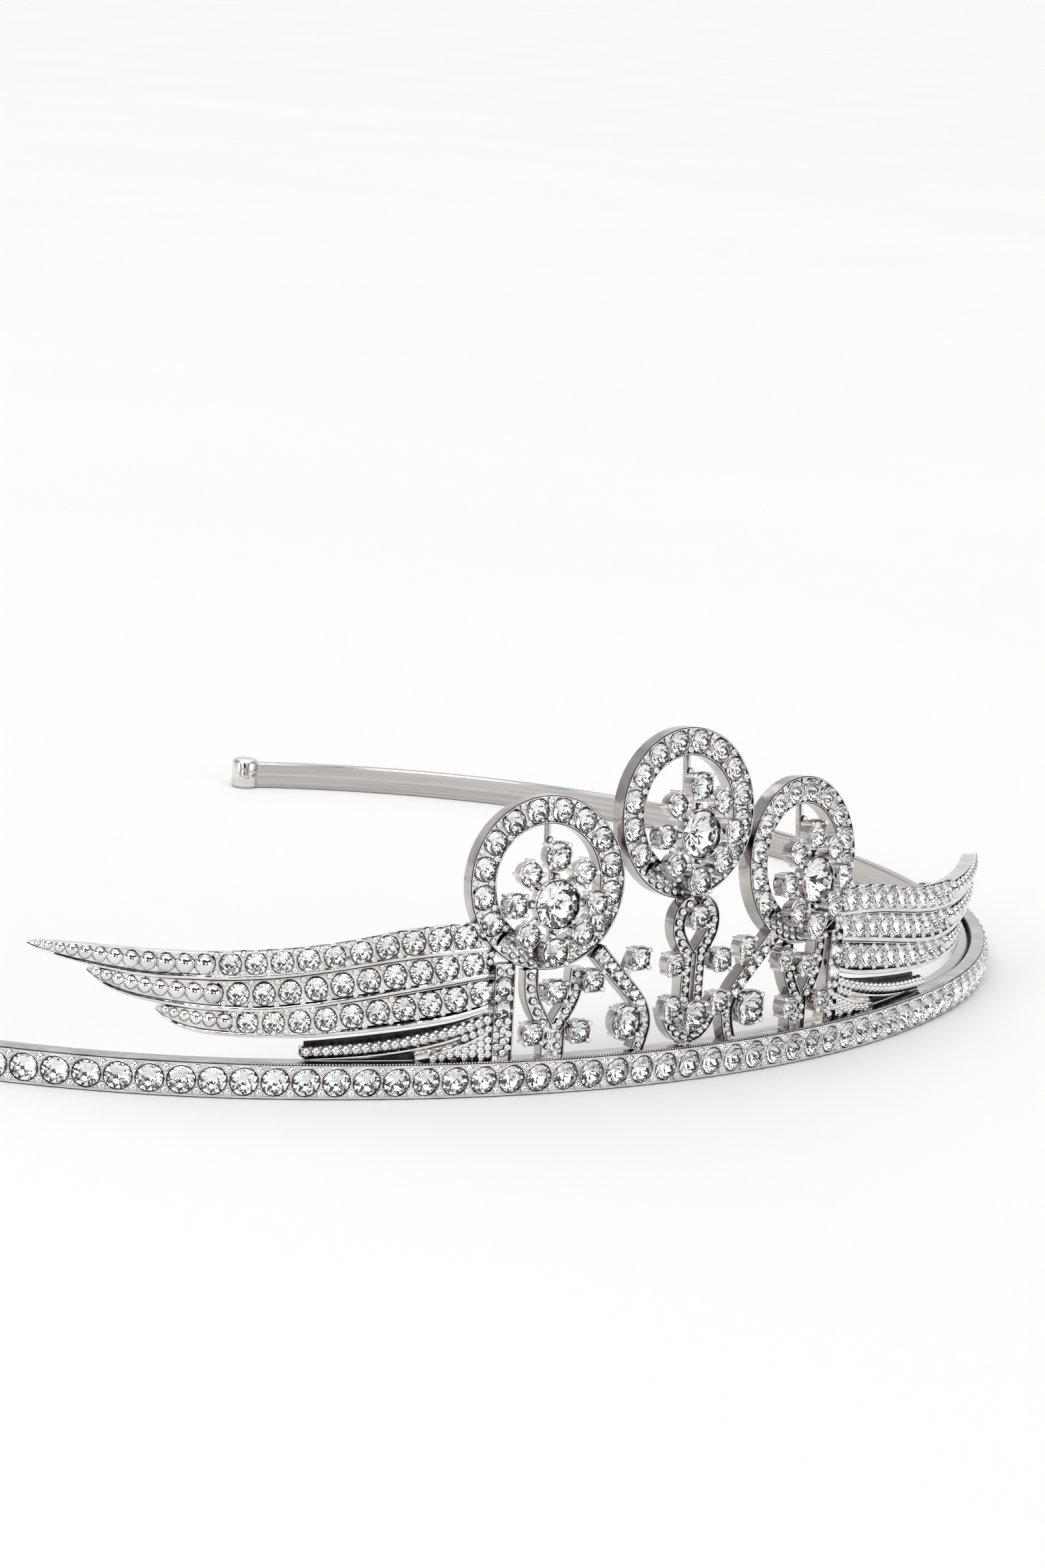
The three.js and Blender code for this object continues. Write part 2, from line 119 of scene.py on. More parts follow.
def standing(distance, setback, lean, side=RIGHT):
    """How a flat piece stands on the rail: across along the rail, depth backwards, rise upwards."""
    x, y, heading = plan_at(distance)
    stand = Matrix.Translation((x, y, RAIL_HEIGHT)) @ Matrix.Rotation(heading, 4, "Z")
    stand = stand @ Matrix.Translation((0, setback, 0))
    stand = stand @ Matrix.Rotation(-math.radians(lean), 4, "X")
    return lambda across, depth, rise: stand @ Matrix.Translation((side * across, depth, rise))


def following(side, setback, lean, base):
    """How a long piece bends with the rail: across is the distance along it from the front."""

    def place(across, depth, rise):
        x, y, heading = plan_at(side * across)
        stand = Matrix.Translation((x, y, base)) @ Matrix.Rotation(heading, 4, "Z")
        stand = stand @ Matrix.Rotation(-math.radians(lean), 4, "X")
        return stand @ Matrix.Translation((0, depth + setback, rise))

    return place


def smooth_line(places, steps):
    """Evenly spaced points on a smooth line through some (x, z) places."""
    knots = [Vector(p) for p in places]
    knots = [2 * knots[0] - knots[1], *knots, 2 * knots[-1] - knots[-2]]
    dense = []
    for a, b, c, d in zip(knots, knots[1:], knots[2:], knots[3:]):
        for i in range(16):
            t = i / 16
            dense.append(0.5 * (2 * b + t * (c - a) + t * t * (2 * a - 5 * b + 4 * c - d)
                                + t ** 3 * (3 * b - a - 3 * c + d)))
    dense.append(knots[-2])
    run = [0.0]
    for a, b in zip(dense, dense[1:]):
        run.append(run[-1] + (b - a).length)
    line, i = [], 0
    for step in range(steps + 1):
        target = run[-1] * step / steps
        while i < len(run) - 2 and run[i + 1] < target:
            i += 1
        share = (target - run[i]) / max(run[i + 1] - run[i], 1e-9)
        line.append(dense[i].lerp(dense[i + 1], min(share, 1.0)))
    return line


def length_of(line):
    return sum((b - a).length for a, b in zip(line, line[1:]))


def normals_of(line):
    """Unit normals, to the left of the way the line goes."""
    normals = []
    for i in range(len(line)):
        way = (line[min(i + 1, len(line) - 1)] - line[max(i - 1, 0)]).normalized()
        normals.append(Vector((-way.y, way.x)))
    return normals


# ---- Finishes ------------------------------------------------------------------------------


class Graph:
    """The nodes of a material or of the sky."""

    def __init__(self, tree, coordinates="Object"):
        self.nodes, self.link = tree.nodes, tree.links.new
        self.place = self.nodes.new("ShaderNodeTexCoord").outputs[coordinates]

    def feed(self, node, values):
        """Fills inputs of a node, each with a plain value or with another node's output."""
        for name, value in values.items():
            if isinstance(value, bpy.types.NodeSocket):
                self.link(value, node.inputs[name])
            else:
                node.inputs[name].default_value = value

    def node(self, kind, values, **settings):
        made = self.nodes.new(f"ShaderNode{kind}")
        for name, setting in settings.items():
            setattr(made, name, setting)
        self.feed(made, values)
        return made

    def noise(self, scale, detail, stretch=(1, 1, 1)):
        place = self.node("Mapping", {"Scale": stretch, "Vector": self.place}).outputs["Vector"]
        texture = self.node("TexNoise", {"Scale": scale, "Detail": detail, "Vector": place})
        return texture.outputs["Fac"]

    def ramp(self, value, stops):
        colours = self.node("ValToRGB", {"Fac": value})
        elements = colours.color_ramp.elements
        while len(elements) < len(stops):
            elements.new(0.5)
        for element, (position, colour) in zip(elements, stops):
            element.position = position
            element.color = (*colour, 1)
        return colours.outputs["Color"]

    def spread(self, value, low, high):
        """Stretches the middle of a noise over a range."""
        return self.node("MapRange", {
            "From Min": 0.3, "From Max": 0.7, "To Min": low, "To Max": high, "Value": value,
        }).outputs["Result"]

    def bump(self, height, distance, strength, under=None):
        values = {"Distance": distance * MM, "Strength": strength, "Height": height}
        if under:
            values["Normal"] = under
        return self.node("Bump", values).outputs["Normal"]


def new_material(name):
    material = bpy.data.materials.new(name)
    material.use_nodes = True
    graph = Graph(material.node_tree)
    return material, graph, graph.nodes["Principled BSDF"]


def plated_metal(name, dark, light, roughness, wave, pits, pit_depth, stretch=(1, 1, 1),
                 cloud_size=420):
    """Plated metal: tarnish cloud, uneven polish, a slow wave of the casting and fine pits."""
    material, graph, shader = new_material(name)
    cloud = graph.noise(cloud_size, 4, stretch)
    slow = graph.bump(graph.noise(900, 1, stretch), wave, 0.6)
    graph.feed(shader, {
        "Metallic": 1,
        "Base Color": graph.ramp(cloud, [(0.32, dark), (0.62, light)]),
        "Roughness": graph.spread(graph.noise(1500, 3, stretch), *roughness),
        "Normal": graph.bump(graph.noise(pits, 2, stretch), pit_depth, 0.7, slow),
    })
    return material


polished_silver = plated_metal(
    "polished_silver", (0.62, 0.60, 0.59), (0.81, 0.79, 0.78), roughness=(0.05, 0.13),
    wave=0.10, pits=6000, pit_depth=0.006)
stippled_silver = plated_metal(
    "stippled_silver", (0.26, 0.25, 0.245), (0.90, 0.89, 0.88), roughness=(0.06, 0.18),
    wave=0.16, pits=3200, pit_depth=0.14, cloud_size=2600)
bead_silver = plated_metal(
    "bead_silver", (0.66, 0.65, 0.645), (0.84, 0.83, 0.825), roughness=(0.03, 0.09),
    wave=0.03, pits=7000, pit_depth=0.003)
# Painted shade: a darker copy of the polished metal for walls, backs and tops, for the darker
# surroundings they reflect.
shaded_side_silver = plated_metal(
    "shaded_side_silver", (0.40, 0.38, 0.375), (0.60, 0.575, 0.565), roughness=(0.08, 0.18),
    wave=0.08, pits=6000, pit_depth=0.006)
shadow_silver = plated_metal(
    "shadow_silver", (0.01, 0.0095, 0.009), (0.06, 0.057, 0.055), roughness=(0.22, 0.42),
    wave=0.05, pits=5000, pit_depth=0.02)
brushed_silver = plated_metal(
    "brushed_silver", (0.42, 0.40, 0.39), (0.58, 0.555, 0.545), roughness=(0.10, 0.24),
    wave=0.01, pits=900, pit_depth=0.01, stretch=(0.08, 0.08, 9))


def cut_crystal():
    """Clear cut glass with faint striae."""
    material, graph, shader = new_material("cut_crystal")
    cloud = graph.noise(500, 2)
    graph.feed(shader, {
        "IOR": 1.57,
        "Transmission Weight": 1,
        "Base Color": graph.ramp(cloud, [(0.35, (0.985, 0.99, 1.0)), (0.65, (1.0, 1.0, 1.0))]),
        "Roughness": graph.spread(cloud, 0.0, 0.02),
        "Normal": graph.bump(cloud, 0.01, 0.2),
    })
    return material


def mirror_foil():
    """The silvered back of a stone, brighter and darker from place to place."""
    material, graph, shader = new_material("mirror_foil")
    cloud = graph.noise(900, 2)
    graph.feed(shader, {
        "Metallic": 1,
        "Base Color": graph.ramp(cloud, [(0.36, (0.80, 0.80, 0.81)), (0.55, (0.99, 0.99, 0.99))]),
        "Roughness": graph.spread(cloud, 0.02, 0.07),
    })
    return material


crystal = cut_crystal()
foil = mirror_foil()
# The last two finishes are painted shade: near-black for grooves, hollows and edge lines, and a
# darker copy of the polished metal for walls, backs and tops.
METAL_FINISHES = (polished_silver, stippled_silver, shadow_silver, shaded_side_silver)
POLISHED, STIPPLED, SHADOWED, SHADED_SIDE = 0, 1, 2, 3
CASTING_CREASE = 38

# ---- Castings ------------------------------------------------------------------------------


def turn_out_and_shade(mesh, crease):
    """Turns all faces outwards, and shades them smooth up to a crease angle if there is one."""
    edit = bmesh.new()
    edit.from_mesh(mesh)
    bmesh.ops.recalc_face_normals(edit, faces=edit.faces)
    edit.to_mesh(mesh)
    edit.free()
    if crease:
        mesh.shade_smooth()
        mesh.set_sharp_from_angle(angle=math.radians(crease))


def add_object(name, data):
    made = bpy.data.objects.new(name, data)
    bpy.context.scene.collection.objects.link(made)
    return made


class Casting:
    """A metal body made of closed lofts."""

    def __init__(self):
        self.corners, self.faces, self.finishes = [], [], []

    def loft(self, rings, finishes, round_trip=False):
        """Joins rings of corners. finishes gives the finish of each strip round a ring."""
        count, start = len(rings[0]), len(self.corners)
        for ring in rings:
            self.corners.extend(ring)
        pairs = len(rings) if round_trip else len(rings) - 1
        for i in range(pairs):
            a, b = start + i * count, start + (i + 1) % len(rings) * count
            for j in range(count):
                k = (j + 1) % count
                self.faces.append((a + j, a + k, b + k, b + j))
                self.finishes.append(finishes[j])
        if not round_trip:
            self.faces.append(tuple(range(start, start + count)))
            last = start + (len(rings) - 1) * count
            self.faces.append(tuple(range(last, last + count)))
            self.finishes += [finishes[0], finishes[0]]

    def finish(self, name, nodes, slot="cast_metal", materials=METAL_FINISHES):
        mesh = bpy.data.meshes.new(name)
        mesh.from_pydata([c * MM for c in self.corners], [], self.faces)
        for material in materials:
            mesh.materials.append(material)
        mesh.polygons.foreach_set("material_index", self.finishes)
        turn_out_and_shade(mesh, CASTING_CREASE)
        take(add_object(name, mesh), nodes)


def take(piece, nodes):
    """Puts a finished piece on the tiara in place of its plain nodes."""
    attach(piece, "root")
    if nodes:
        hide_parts(*nodes)


FLOOR = "floor"


def channel(rim, floor, back, soft=0.07):
    """Section across a strand: rounded rims with a sunk floor between them. Each place is
    (edge, inset from that edge, depth), and each strip has its finish."""
    half = [(0, back), (0, soft), (soft, 0), (rim, 0), (rim + 0.05, floor)]
    section = [("a", *place) for place in half] + [("b", *place) for place in reversed(half)]
    # Painted shade: the outer wall is darker, and the edge chamfer and the wall down to the floor
    # are near-black.
    edge = [SHADED_SIDE, SHADOWED, POLISHED, SHADOWED]
    finishes = [*edge, STIPPLED, *reversed(edge), SHADED_SIDE]
    return section, finishes


def plain_bar(back, front=0.0, soft=0.15):
    """Section across a plain bar with rounded front edges."""
    section = [("a", 0, back), ("a", 0, front + soft), ("a", soft, front), ("b", soft, front),
               ("b", 0, front + soft), ("b", 0, back)]
    # The sides and back take the darker painted-shade finish.
    return section, [SHADED_SIDE, POLISHED, POLISHED, POLISHED, SHADED_SIDE, SHADED_SIDE]


def ribbon(casting, place, edge_a, edge_b, section, floors=None, full_width=0.8):
    """A long body between two edges. floors gives the sunk floor's depth at each step. Its
    borders narrow with it below the full width."""
    shape, finishes = section
    rings = []
    for i, (a, b) in enumerate(zip(edge_a, edge_b)):
        width = (b - a).length
        way = (b - a) / max(width, 1e-6)
        shrink = min(1.0, width / full_width)
        ring = []
        for edge, inset, depth in shape:
            flat = a + way * inset * shrink if edge == "a" else b - way * inset * shrink
            depth = floors[i] if depth == FLOOR else depth
            ring.append(place(flat.x, depth, flat.y).translation)
        rings.append(ring)
    casting.loft(rings, finishes)


def strand(casting, place, places, width, section, steps=24, taper=1.0, depth=0.0):
    """A strand of even width along a smooth line. Returns the line."""
    line = smooth_line(places, steps)
    edge_a, edge_b = [], []
    for i, (point, normal) in enumerate(zip(line, normals_of(line))):
        half = width / 2 * (1 + (taper - 1) * i / steps)
        edge_a.append(point + normal * half)
        edge_b.append(point - normal * half)
    shape, finishes = section
    moved = [(edge, inset, d + depth) for edge, inset, d in shape]
    ribbon(casting, place, edge_a, edge_b, (moved, finishes))
    return line


def turned_ring(casting, place, height, outer, inner, section, floor_at, steps=120):
    """A ring with a section that runs from its outer edge a to its inner edge b.
    floor_at(degrees) gives the sunk floor's depth."""
    shape, finishes = section
    rings = []
    for i in range(steps):
        angle = math.tau * i / steps
        sunk = floor_at(math.degrees(angle))
        ring = []
        for edge, inset, depth in shape:
            radius = outer - inset if edge == "a" else inner + inset
            ring.append(place(radius * math.cos(angle), sunk if depth == FLOOR else depth,
                              height + radius * math.sin(angle)).translation)
        rings.append(ring)
    casting.loft(rings, finishes, round_trip=True)


# ---- Stones, seats, cups, beads and prongs, made once and set many times -------------------


def template(name, corners, faces, second, crease):
    """A shape about one millimetre across that looks forwards (-y), to be set many times.
    The faces in second take the second of its two finishes."""
    mesh = bpy.data.meshes.new(name)
    mesh.from_pydata([Vector(c) * MM for c in corners], [], faces)
    chosen = mesh.attributes.new("second", "BOOLEAN", "FACE")
    chosen.data.foreach_set("value", [f in second for f in range(len(faces))])
    turn_out_and_shade(mesh, crease)
    return add_object(name, mesh)


def turned_template(name, profile, steps, second_strips=(), crease=40, wobble=None):
    """A template turned about its depth axis. Places with no radius close it with a point.
    wobble(angle, index, radius, depth) may shape the profile from place to place."""
    corners, faces, second = [], [], set()
    for i in range(steps):
        angle = math.tau * i / steps
        for index, (radius, depth) in enumerate(profile):
            if wobble:
                radius, depth = wobble(angle, index, radius, depth)
            corners.append((radius * math.cos(angle), depth, radius * math.sin(angle)))
    count = len(profile)
    closed = profile[0][0] > 0 and profile[-1][0] > 0
    for i in range(steps):
        a, b = i * count, (i + 1) % steps * count
        for j in range(count if closed else count - 1):
            k = (j + 1) % count
            if profile[j][0] == 0:
                face = (j, a + k, b + k)
            elif profile[k][0] == 0:
                face = (a + j, k, b + j)
            else:
                face = (a + j, a + k, b + k, b + j)
            if j in second_strips:
                second.add(len(faces))
            faces.append(face)
    return template(name, corners, faces, second, crease)


def cut_stone_template(name, crown, table, pavilion):
    """A round brilliant of one millimetre: table, stars, kites and girdle facets in front of its
    girdle, mains and halves behind it. The back is the second finish."""

    def wheel(count, offset, radius, depth):
        turn = [math.tau * (i + offset) / count for i in range(count)]
        return [(radius * math.cos(a), depth, radius * math.sin(a)) for a in turn]

    corners = [
        *wheel(8, 0, 0.5 * table, -crown),
        *wheel(8, 0.5, 0.39, -crown * 0.58),
        *wheel(16, 0, 0.5, -0.015),
        *wheel(16, 0, 0.5, 0.015),
        *wheel(8, 0.5, 0.26, pavilion * 0.55),
        (0, pavilion, 0),
    ]
    faces = [tuple(range(8))]
    for i in range(8):
        j = (i + 1) % 8
        before = 8 + (i - 1) % 8
        g = [16 + (2 * i + n) % 16 for n in range(3)]
        faces += [(i, j, 8 + i), (i, before, 16 + 2 * i, 8 + i), (8 + i, g[0], g[1]),
                  (8 + i, g[1], g[2])]
    crown_faces = len(faces)
    for i in range(16):
        j = (i + 1) % 16
        faces.append((16 + i, 16 + j, 32 + j, 32 + i))
    for i in range(8):
        before = 48 + (i - 1) % 8
        g = [32 + (2 * i + n) % 16 for n in range(3)]
        faces += [(48 + i, g[0], g[1]), (48 + i, g[1], g[2]), (56, before, 32 + 2 * i, 48 + i)]
    return template(name, corners, faces, set(range(crown_faces, len(faces))), None)


small_stone = cut_stone_template("small_stone", 0.17, 0.56, 0.40)
# The seat is a bright lip round a stone with a groove inside it, painted near-black as shade.
stone_seat = turned_template(
    "stone_seat",
    [(0.485, 0.03), (0.507, 0.07), (0.522, -0.02), (0.542, -0.05), (0.565, -0.02), (0.578, 0.12),
     (0.485, 0.14)],
    20, second_strips=(0, 1, 6))
# A bead stands in a small hollow, painted near-black as shade.
bead = turned_template("bead", [(0, -0.5), (0.24, -0.44), (0.42, -0.27), (0.5, -0.02), (0.49, 0.12),
                                (0.62, 0.14), (0.6, 0.4), (0, 0.42)], 10,
                                second_strips=(3, 4, 5, 6), crease=60)
# A barrel is a bead without a hollow, for the narrow tips of the feathers.
barrel = turned_template("barrel",
                         [(0, -0.5), (0.26, -0.44), (0.43, -0.27), (0.5, -0.03), (0.48, 0.14),
                          (0.36, 0.3),
                                    (0, 0.34)], 16, crease=60)
# A prong is a claw with a round head and a shank that runs back along its cup, the shank painted
# near-black as shade.
prong = turned_template("prong",
                        [(0, -0.62), (0.3, -0.52), (0.47, -0.2), (0.46, 0.1), (0.36, 0.3),
                         (0.36, 2.2), (0, 2.3)],
                        8, second_strips=(5,), crease=60)


def saddle_template(name, pitch, hole=0.553, reach=0.53, steps=8):
    """The plate between two neighbouring seats, for stones of one millimetre."""
    far = math.asin(min(reach / hole, 1.0))
    turns = [far * (2 * i / steps - 1) for i in range(steps + 1)]
    side = [(hole * math.cos(turn) - pitch / 2, hole * math.sin(turn)) for turn in turns]
    outline = side + [(-x, z) for x, z in reversed(side)]
    count = len(outline)
    corners = [(x, depth, z) for depth in (0.0, 0.3) for x, z in outline]
    faces = [tuple(range(count)), tuple(range(count, 2 * count))]
    faces += [(i, (i + 1) % count, count + (i + 1) % count, count + i) for i in range(count)]
    return template(name, corners, faces, set(range(1, len(faces))), None)


rail_saddle = saddle_template("rail_saddle", RAIL_PITCH / RAIL_STONE)
crest_saddle = saddle_template("crest_saddle", 1.22)


def gallery(angle, index, radius, depth):
    """The cup's rim dips and its wall draws in between its four claws."""
    claw = 0.5 - 0.5 * math.cos(4 * angle)
    if index in (2, 3, 4, 5):
        return radius * (1 + 0.045 * claw), depth - 0.07 * claw + 0.05
    return radius, depth


def scallop(angle, index, radius, depth):
    """The large cup's rim is cut in shallow scallops."""
    wave = 0.5 - 0.5 * math.cos(10 * angle)
    if index in (2, 3, 4, 5):
        return radius * (1 + 0.02 * wave), depth - 0.03 * wave
    return radius, depth


CUP_PROFILE = [(0.36, 0.55), (0.52, 0.53), (0.565, 0.2), (0.575, -0.02), (0.545, -0.05),
               (0.515, -0.02),
               (0.49, 0.04), (0.40, 0.25)]
claw_cup = turned_template("claw_cup", CUP_PROFILE, 24, second_strips=(5, 6), wobble=gallery)
BIG_CUP_PROFILE = [(0.36, 0.3), (0.50, 0.29), (0.545, 0.1), (0.55, -0.01), (0.53, -0.03),
                   (0.512, -0.01),
                   (0.49, 0.03), (0.40, 0.15)]
scalloped_cup = turned_template(
    "scalloped_cup", BIG_CUP_PROFILE, 60, second_strips=(5, 6), wobble=scallop)


def setting_tree():
    """Sets a template on every place, each with its own turn and size."""
    tree = bpy.data.node_groups.new("setting", "GeometryNodeTree")
    tree.is_modifier = True
    for name, kind in (("Places", "NodeSocketGeometry"), ("Template", "NodeSocketObject"),
                       ("First Finish", "NodeSocketMaterial"),
                       ("Second Finish", "NodeSocketMaterial")):
        tree.interface.new_socket(name=name, in_out="INPUT", socket_type=kind)
    tree.interface.new_socket(name="Set", in_out="OUTPUT", socket_type="NodeSocketGeometry")
    nodes, link = tree.nodes, tree.links.new
    given, made = nodes.new("NodeGroupInput"), nodes.new("NodeGroupOutput")

    def named(name, kind):
        node = nodes.new("GeometryNodeInputNamedAttribute")
        node.data_type = kind
        node.inputs["Name"].default_value = name
        return node.outputs["Attribute"]

    info = nodes.new("GeometryNodeObjectInfo")
    link(given.outputs["Template"], info.inputs["Object"])
    instances = nodes.new("GeometryNodeInstanceOnPoints")
    link(given.outputs["Places"], instances.inputs["Points"])
    link(info.outputs["Geometry"], instances.inputs["Instance"])
    link(named("turn", "FLOAT_VECTOR"), instances.inputs["Rotation"])
    link(named("size", "FLOAT_VECTOR"), instances.inputs["Scale"])
    real = nodes.new("GeometryNodeRealizeInstances")
    link(instances.outputs["Instances"], real.inputs["Geometry"])
    first, second = nodes.new("GeometryNodeSetMaterial"), nodes.new("GeometryNodeSetMaterial")
    link(real.outputs["Geometry"], first.inputs["Geometry"])
    link(given.outputs["First Finish"], first.inputs["Material"])
    link(first.outputs["Geometry"], second.inputs["Geometry"])
    link(named("second", "BOOLEAN"), second.inputs["Selection"])
    link(given.outputs["Second Finish"], second.inputs["Material"])
    link(second.outputs["Geometry"], made.inputs["Set"])
    return tree


SETTING = setting_tree()
KINDS = {
    "stones": (small_stone, crystal, foil, "crystal"),
    "seats": (stone_seat, polished_silver, shadow_silver, "cast_metal"),
    "rail_saddles": (rail_saddle, polished_silver, shadow_silver, "cast_metal"),
    "saddles": (crest_saddle, polished_silver, shadow_silver, "cast_metal"),
    "beads": (bead, bead_silver, shadow_silver, "cast_metal"),
    "barrels": (barrel, bead_silver, bead_silver, "cast_metal"),
    "prongs": (prong, bead_silver, shadow_silver, "cast_metal"),
    # Cup walls take the darker painted-shade finish, and their inner lips near-black painted shade.
    "cups": (claw_cup, shaded_side_silver, shadow_silver, "cast_metal"),
    "large_cups": (scalloped_cup, shaded_side_silver, shadow_silver, "cast_metal"),
}


UNLIKE_TURN = 2.399  # turns each stone unlike the ones before it
SEAT_DEPTH = 0.06
CLAWS = 4
CLAW_REACH = 0.2
CLAW_SIZE = 0.56


class Tray:
    """The small things of one part of the tiara, waiting to be set."""

    def __init__(self, side=RIGHT):
        self.held = {kind: [] for kind in KINDS}
        self.side = side
        self.count = 0

    def lay(self, kind, place, across, depth, rise, size, spin=0.0):
        where = place(across, depth, rise) @ Matrix.Rotation(-self.side * spin, 4, "Y")
        width, deep = size if isinstance(size, tuple) else (size, size)
        self.held[kind].append((where.translation * MM, where.to_euler("XYZ"),
                                (width, deep, width)))

    def stone(self, place, across, depth, rise, diameter):
        """A stone with its girdle at that depth, turned unlike its neighbours."""
        self.count += 1
        self.lay("stones", place, across, depth, rise, diameter, self.count * UNLIKE_TURN)

    def set_stone(self, place, across, depth, rise, diameter, shallow=1.0):
        """A stone in a bright cut seat in a flat floor. A shallow one is cut for a thin floor."""
        self.count += 1
        self.lay("stones", place, across, depth - SEAT_DEPTH, rise, (diameter, diameter * shallow),
                 self.count * UNLIKE_TURN)
        self.lay("seats", place, across, depth, rise, diameter)

    def cup_stone(self, place, across, depth, rise, diameter, lead=math.pi / 4):
        """A stone in a cup of its own with claws round its edge, the first one at the lead."""
        self.stone(place, across, depth, rise, diameter)
        deep = CUP_HEIGHT / CUP_PROFILE[0][1]
        self.lay("cups", place, across, depth, rise, (diameter, deep), lead - math.pi / 4)
        reach = diameter / 2 + CLAW_REACH
        for i in range(CLAWS):
            angle = lead + math.tau * i / CLAWS
            self.lay("prongs", place, across + reach * math.cos(angle), depth - 0.12,
                     rise + reach * math.sin(angle), CLAW_SIZE)

    def beads_along(self, place, line, pitch, size, depth):
        """A row of beads on a line, evenly spaced."""
        total = length_of(line)
        count = max(1, round(total / pitch))
        run, i = 0.0, 0
        for step in range(count):
            target = total * (step + 0.5) / count
            while i < len(line) - 2 and run + (line[i + 1] - line[i]).length < target:
                run += (line[i + 1] - line[i]).length
                i += 1
            gap = max((line[i + 1] - line[i]).length, 1e-9)
            here = line[i].lerp(line[i + 1], (target - run) / gap)
            self.lay("beads", place, here.x, depth, here.y, size)

    def empty_out(self, prefix, stone_nodes=()):
        """Sets everything that is held, one piece for each kind."""
        for kind, held in self.held.items():
            if held:
                shape, first, second, slot = KINDS[kind]
                set_pieces(f"{prefix}_{kind}", held, shape, first, second,
                           stone_nodes if kind == "stones" else ())


def set_pieces(name, held, shape, first, second, nodes):
    mesh = bpy.data.meshes.new(name)
    mesh.from_pydata([where for where, _, _ in held], [], [])
    turn = mesh.attributes.new("turn", "FLOAT_VECTOR", "POINT")
    turn.data.foreach_set("vector", [v for _, angles, _ in held for v in angles])
    size = mesh.attributes.new("size", "FLOAT_VECTOR", "POINT")
    size.data.foreach_set("vector", [v for _, _, sizes in held for v in sizes])
    carrier = add_object(name, mesh)
    modifier = carrier.modifiers.new("setting", "NODES")
    modifier.node_group = SETTING
    values = {"Template": shape, "First Finish": first, "Second Finish": second}
    for item in SETTING.interface.items_tree:
        if item.in_out == "INPUT" and item.name in values:
            modifier[item.identifier] = values[item.name]
    graph = bpy.context.evaluated_depsgraph_get()
    done = bpy.data.meshes.new_from_object(carrier.evaluated_get(graph))
    bpy.data.objects.remove(carrier)
    done.name = name
    take(add_object(name, done), nodes)


# ---- Headband and rail ---------------------------------------------------------------------


def headband():
    """The plain strip behind the rail, its edges softened, with a rolled end on each side."""
    casting = Casting()
    place = following(RIGHT, BAND_FRONT, 0, 0)
    soft, back, top = 0.18, BAND_THICKNESS, BAND_HEIGHT
    section = [(back - soft, 0), (soft, 0), (0, soft), (0, top - soft), (soft, top),
               (back - soft, top),
               (back, top - soft), (back, soft)]
    rings = []
    for i in range(321):
        distance = (i / 160 - 1) * BAND_HALF_LENGTH
        rings.append([place(distance, depth, height).translation for depth, height in section])
    casting.loft(rings, [0] * len(section))
    for side in (LEFT, RIGHT):
        end = place(side * BAND_HALF_LENGTH, BAND_THICKNESS / 2, 0)
        radius, height = BAND_END_DIAMETER / 2, BAND_END_HEIGHT
        profile = [(0.3, 0.0), (radius - 0.35, 0.0), (radius, 0.35), (radius, height - 0.5),
                   (radius * 0.94, height - 0.25), (radius * 0.78, height - 0.08), (0.3, height)]
        rings = []
        for r, z in profile:
            rings.append([
                end @ Vector((r * math.cos(math.tau * k / 28), r * math.sin(math.tau * k / 28), z))
                for k in range(28)
            ])
        casting.loft(rings, [1] * 28)
    casting.finish("headband_strip", ["headband"], "band_metal", (brushed_silver, polished_silver))


def crystal_rail():
    """The rail: a bar with plain borders and a sunk face that carries one row of stones, with
    a bead above and below between every two, and a fine beaded line on its top edge."""
    casting, tray = Casting(), Tray()
    place = following(RIGHT, 0, 0, 0)
    middle = RAIL_HEIGHT / 2
    border, sunk, soft = 0.3, 1.05, 0.1
    section = [(RAIL_DEPTH, 0), (soft, 0), (0, soft), (0, border), (sunk, border + 0.08),
               (sunk, RAIL_HEIGHT - border - 0.08), (0, RAIL_HEIGHT - border),
               (0, RAIL_HEIGHT - soft),
               (soft, RAIL_HEIGHT), (RAIL_DEPTH - 0.1, RAIL_HEIGHT),
               (RAIL_DEPTH, RAIL_HEIGHT - 0.1)]
    rings = []
    for i in range(193):
        distance = (i / 96 - 1) * RAIL_HALF_LENGTH
        near = min(1.0, (RAIL_HALF_LENGTH - abs(distance)) / 1.0)
        shrink = 0.8 + 0.2 * math.sqrt(max(near, 0.0))
        rings.append([
            place(distance, RAIL_DEPTH + (depth - RAIL_DEPTH) * shrink,
                  middle + (height - middle) * shrink).translation
            for depth, height in section
        ])
    # Painted shade: the bottom, top and back take the darker finish, and the chamfers, the sunk
    # face and its walls are near-black.
    casting.loft(rings,
                 [SHADED_SIDE, SHADOWED, POLISHED, SHADOWED, SHADOWED, SHADOWED, POLISHED, SHADOWED,
                  SHADED_SIDE, SHADOWED, SHADED_SIDE])
    casting.finish("rail_bar", ["crystal_rail"])
    reach = int((RAIL_HALF_LENGTH - RAIL_STONE * 0.6) / RAIL_PITCH)
    for i in range(-reach, reach + 1):
        tray.set_stone(place, i * RAIL_PITCH, 0.02, middle, RAIL_STONE)
        if i < reach:
            for up in (-1, 1):
                tray.lay("beads", place, (i + 0.5) * RAIL_PITCH, 0.04, middle + up * 1.06, 0.9)
            tray.lay("rail_saddles", place, (i + 0.5) * RAIL_PITCH, 0.03, middle, RAIL_STONE)
    for i in range(-TOP_BEADS, TOP_BEADS + 1):
        tray.lay("beads", place, i * TOP_BEAD_PITCH, 0.16, RAIL_HEIGHT - 0.03, TOP_BEAD)
    tray.empty_out("rail")


# ---- Medallions ----------------------------------------------------------------------------


RING_STONES = 12
RING_STONE = 2.2
RING_PITCH = 22.2  # degrees from stone to stone


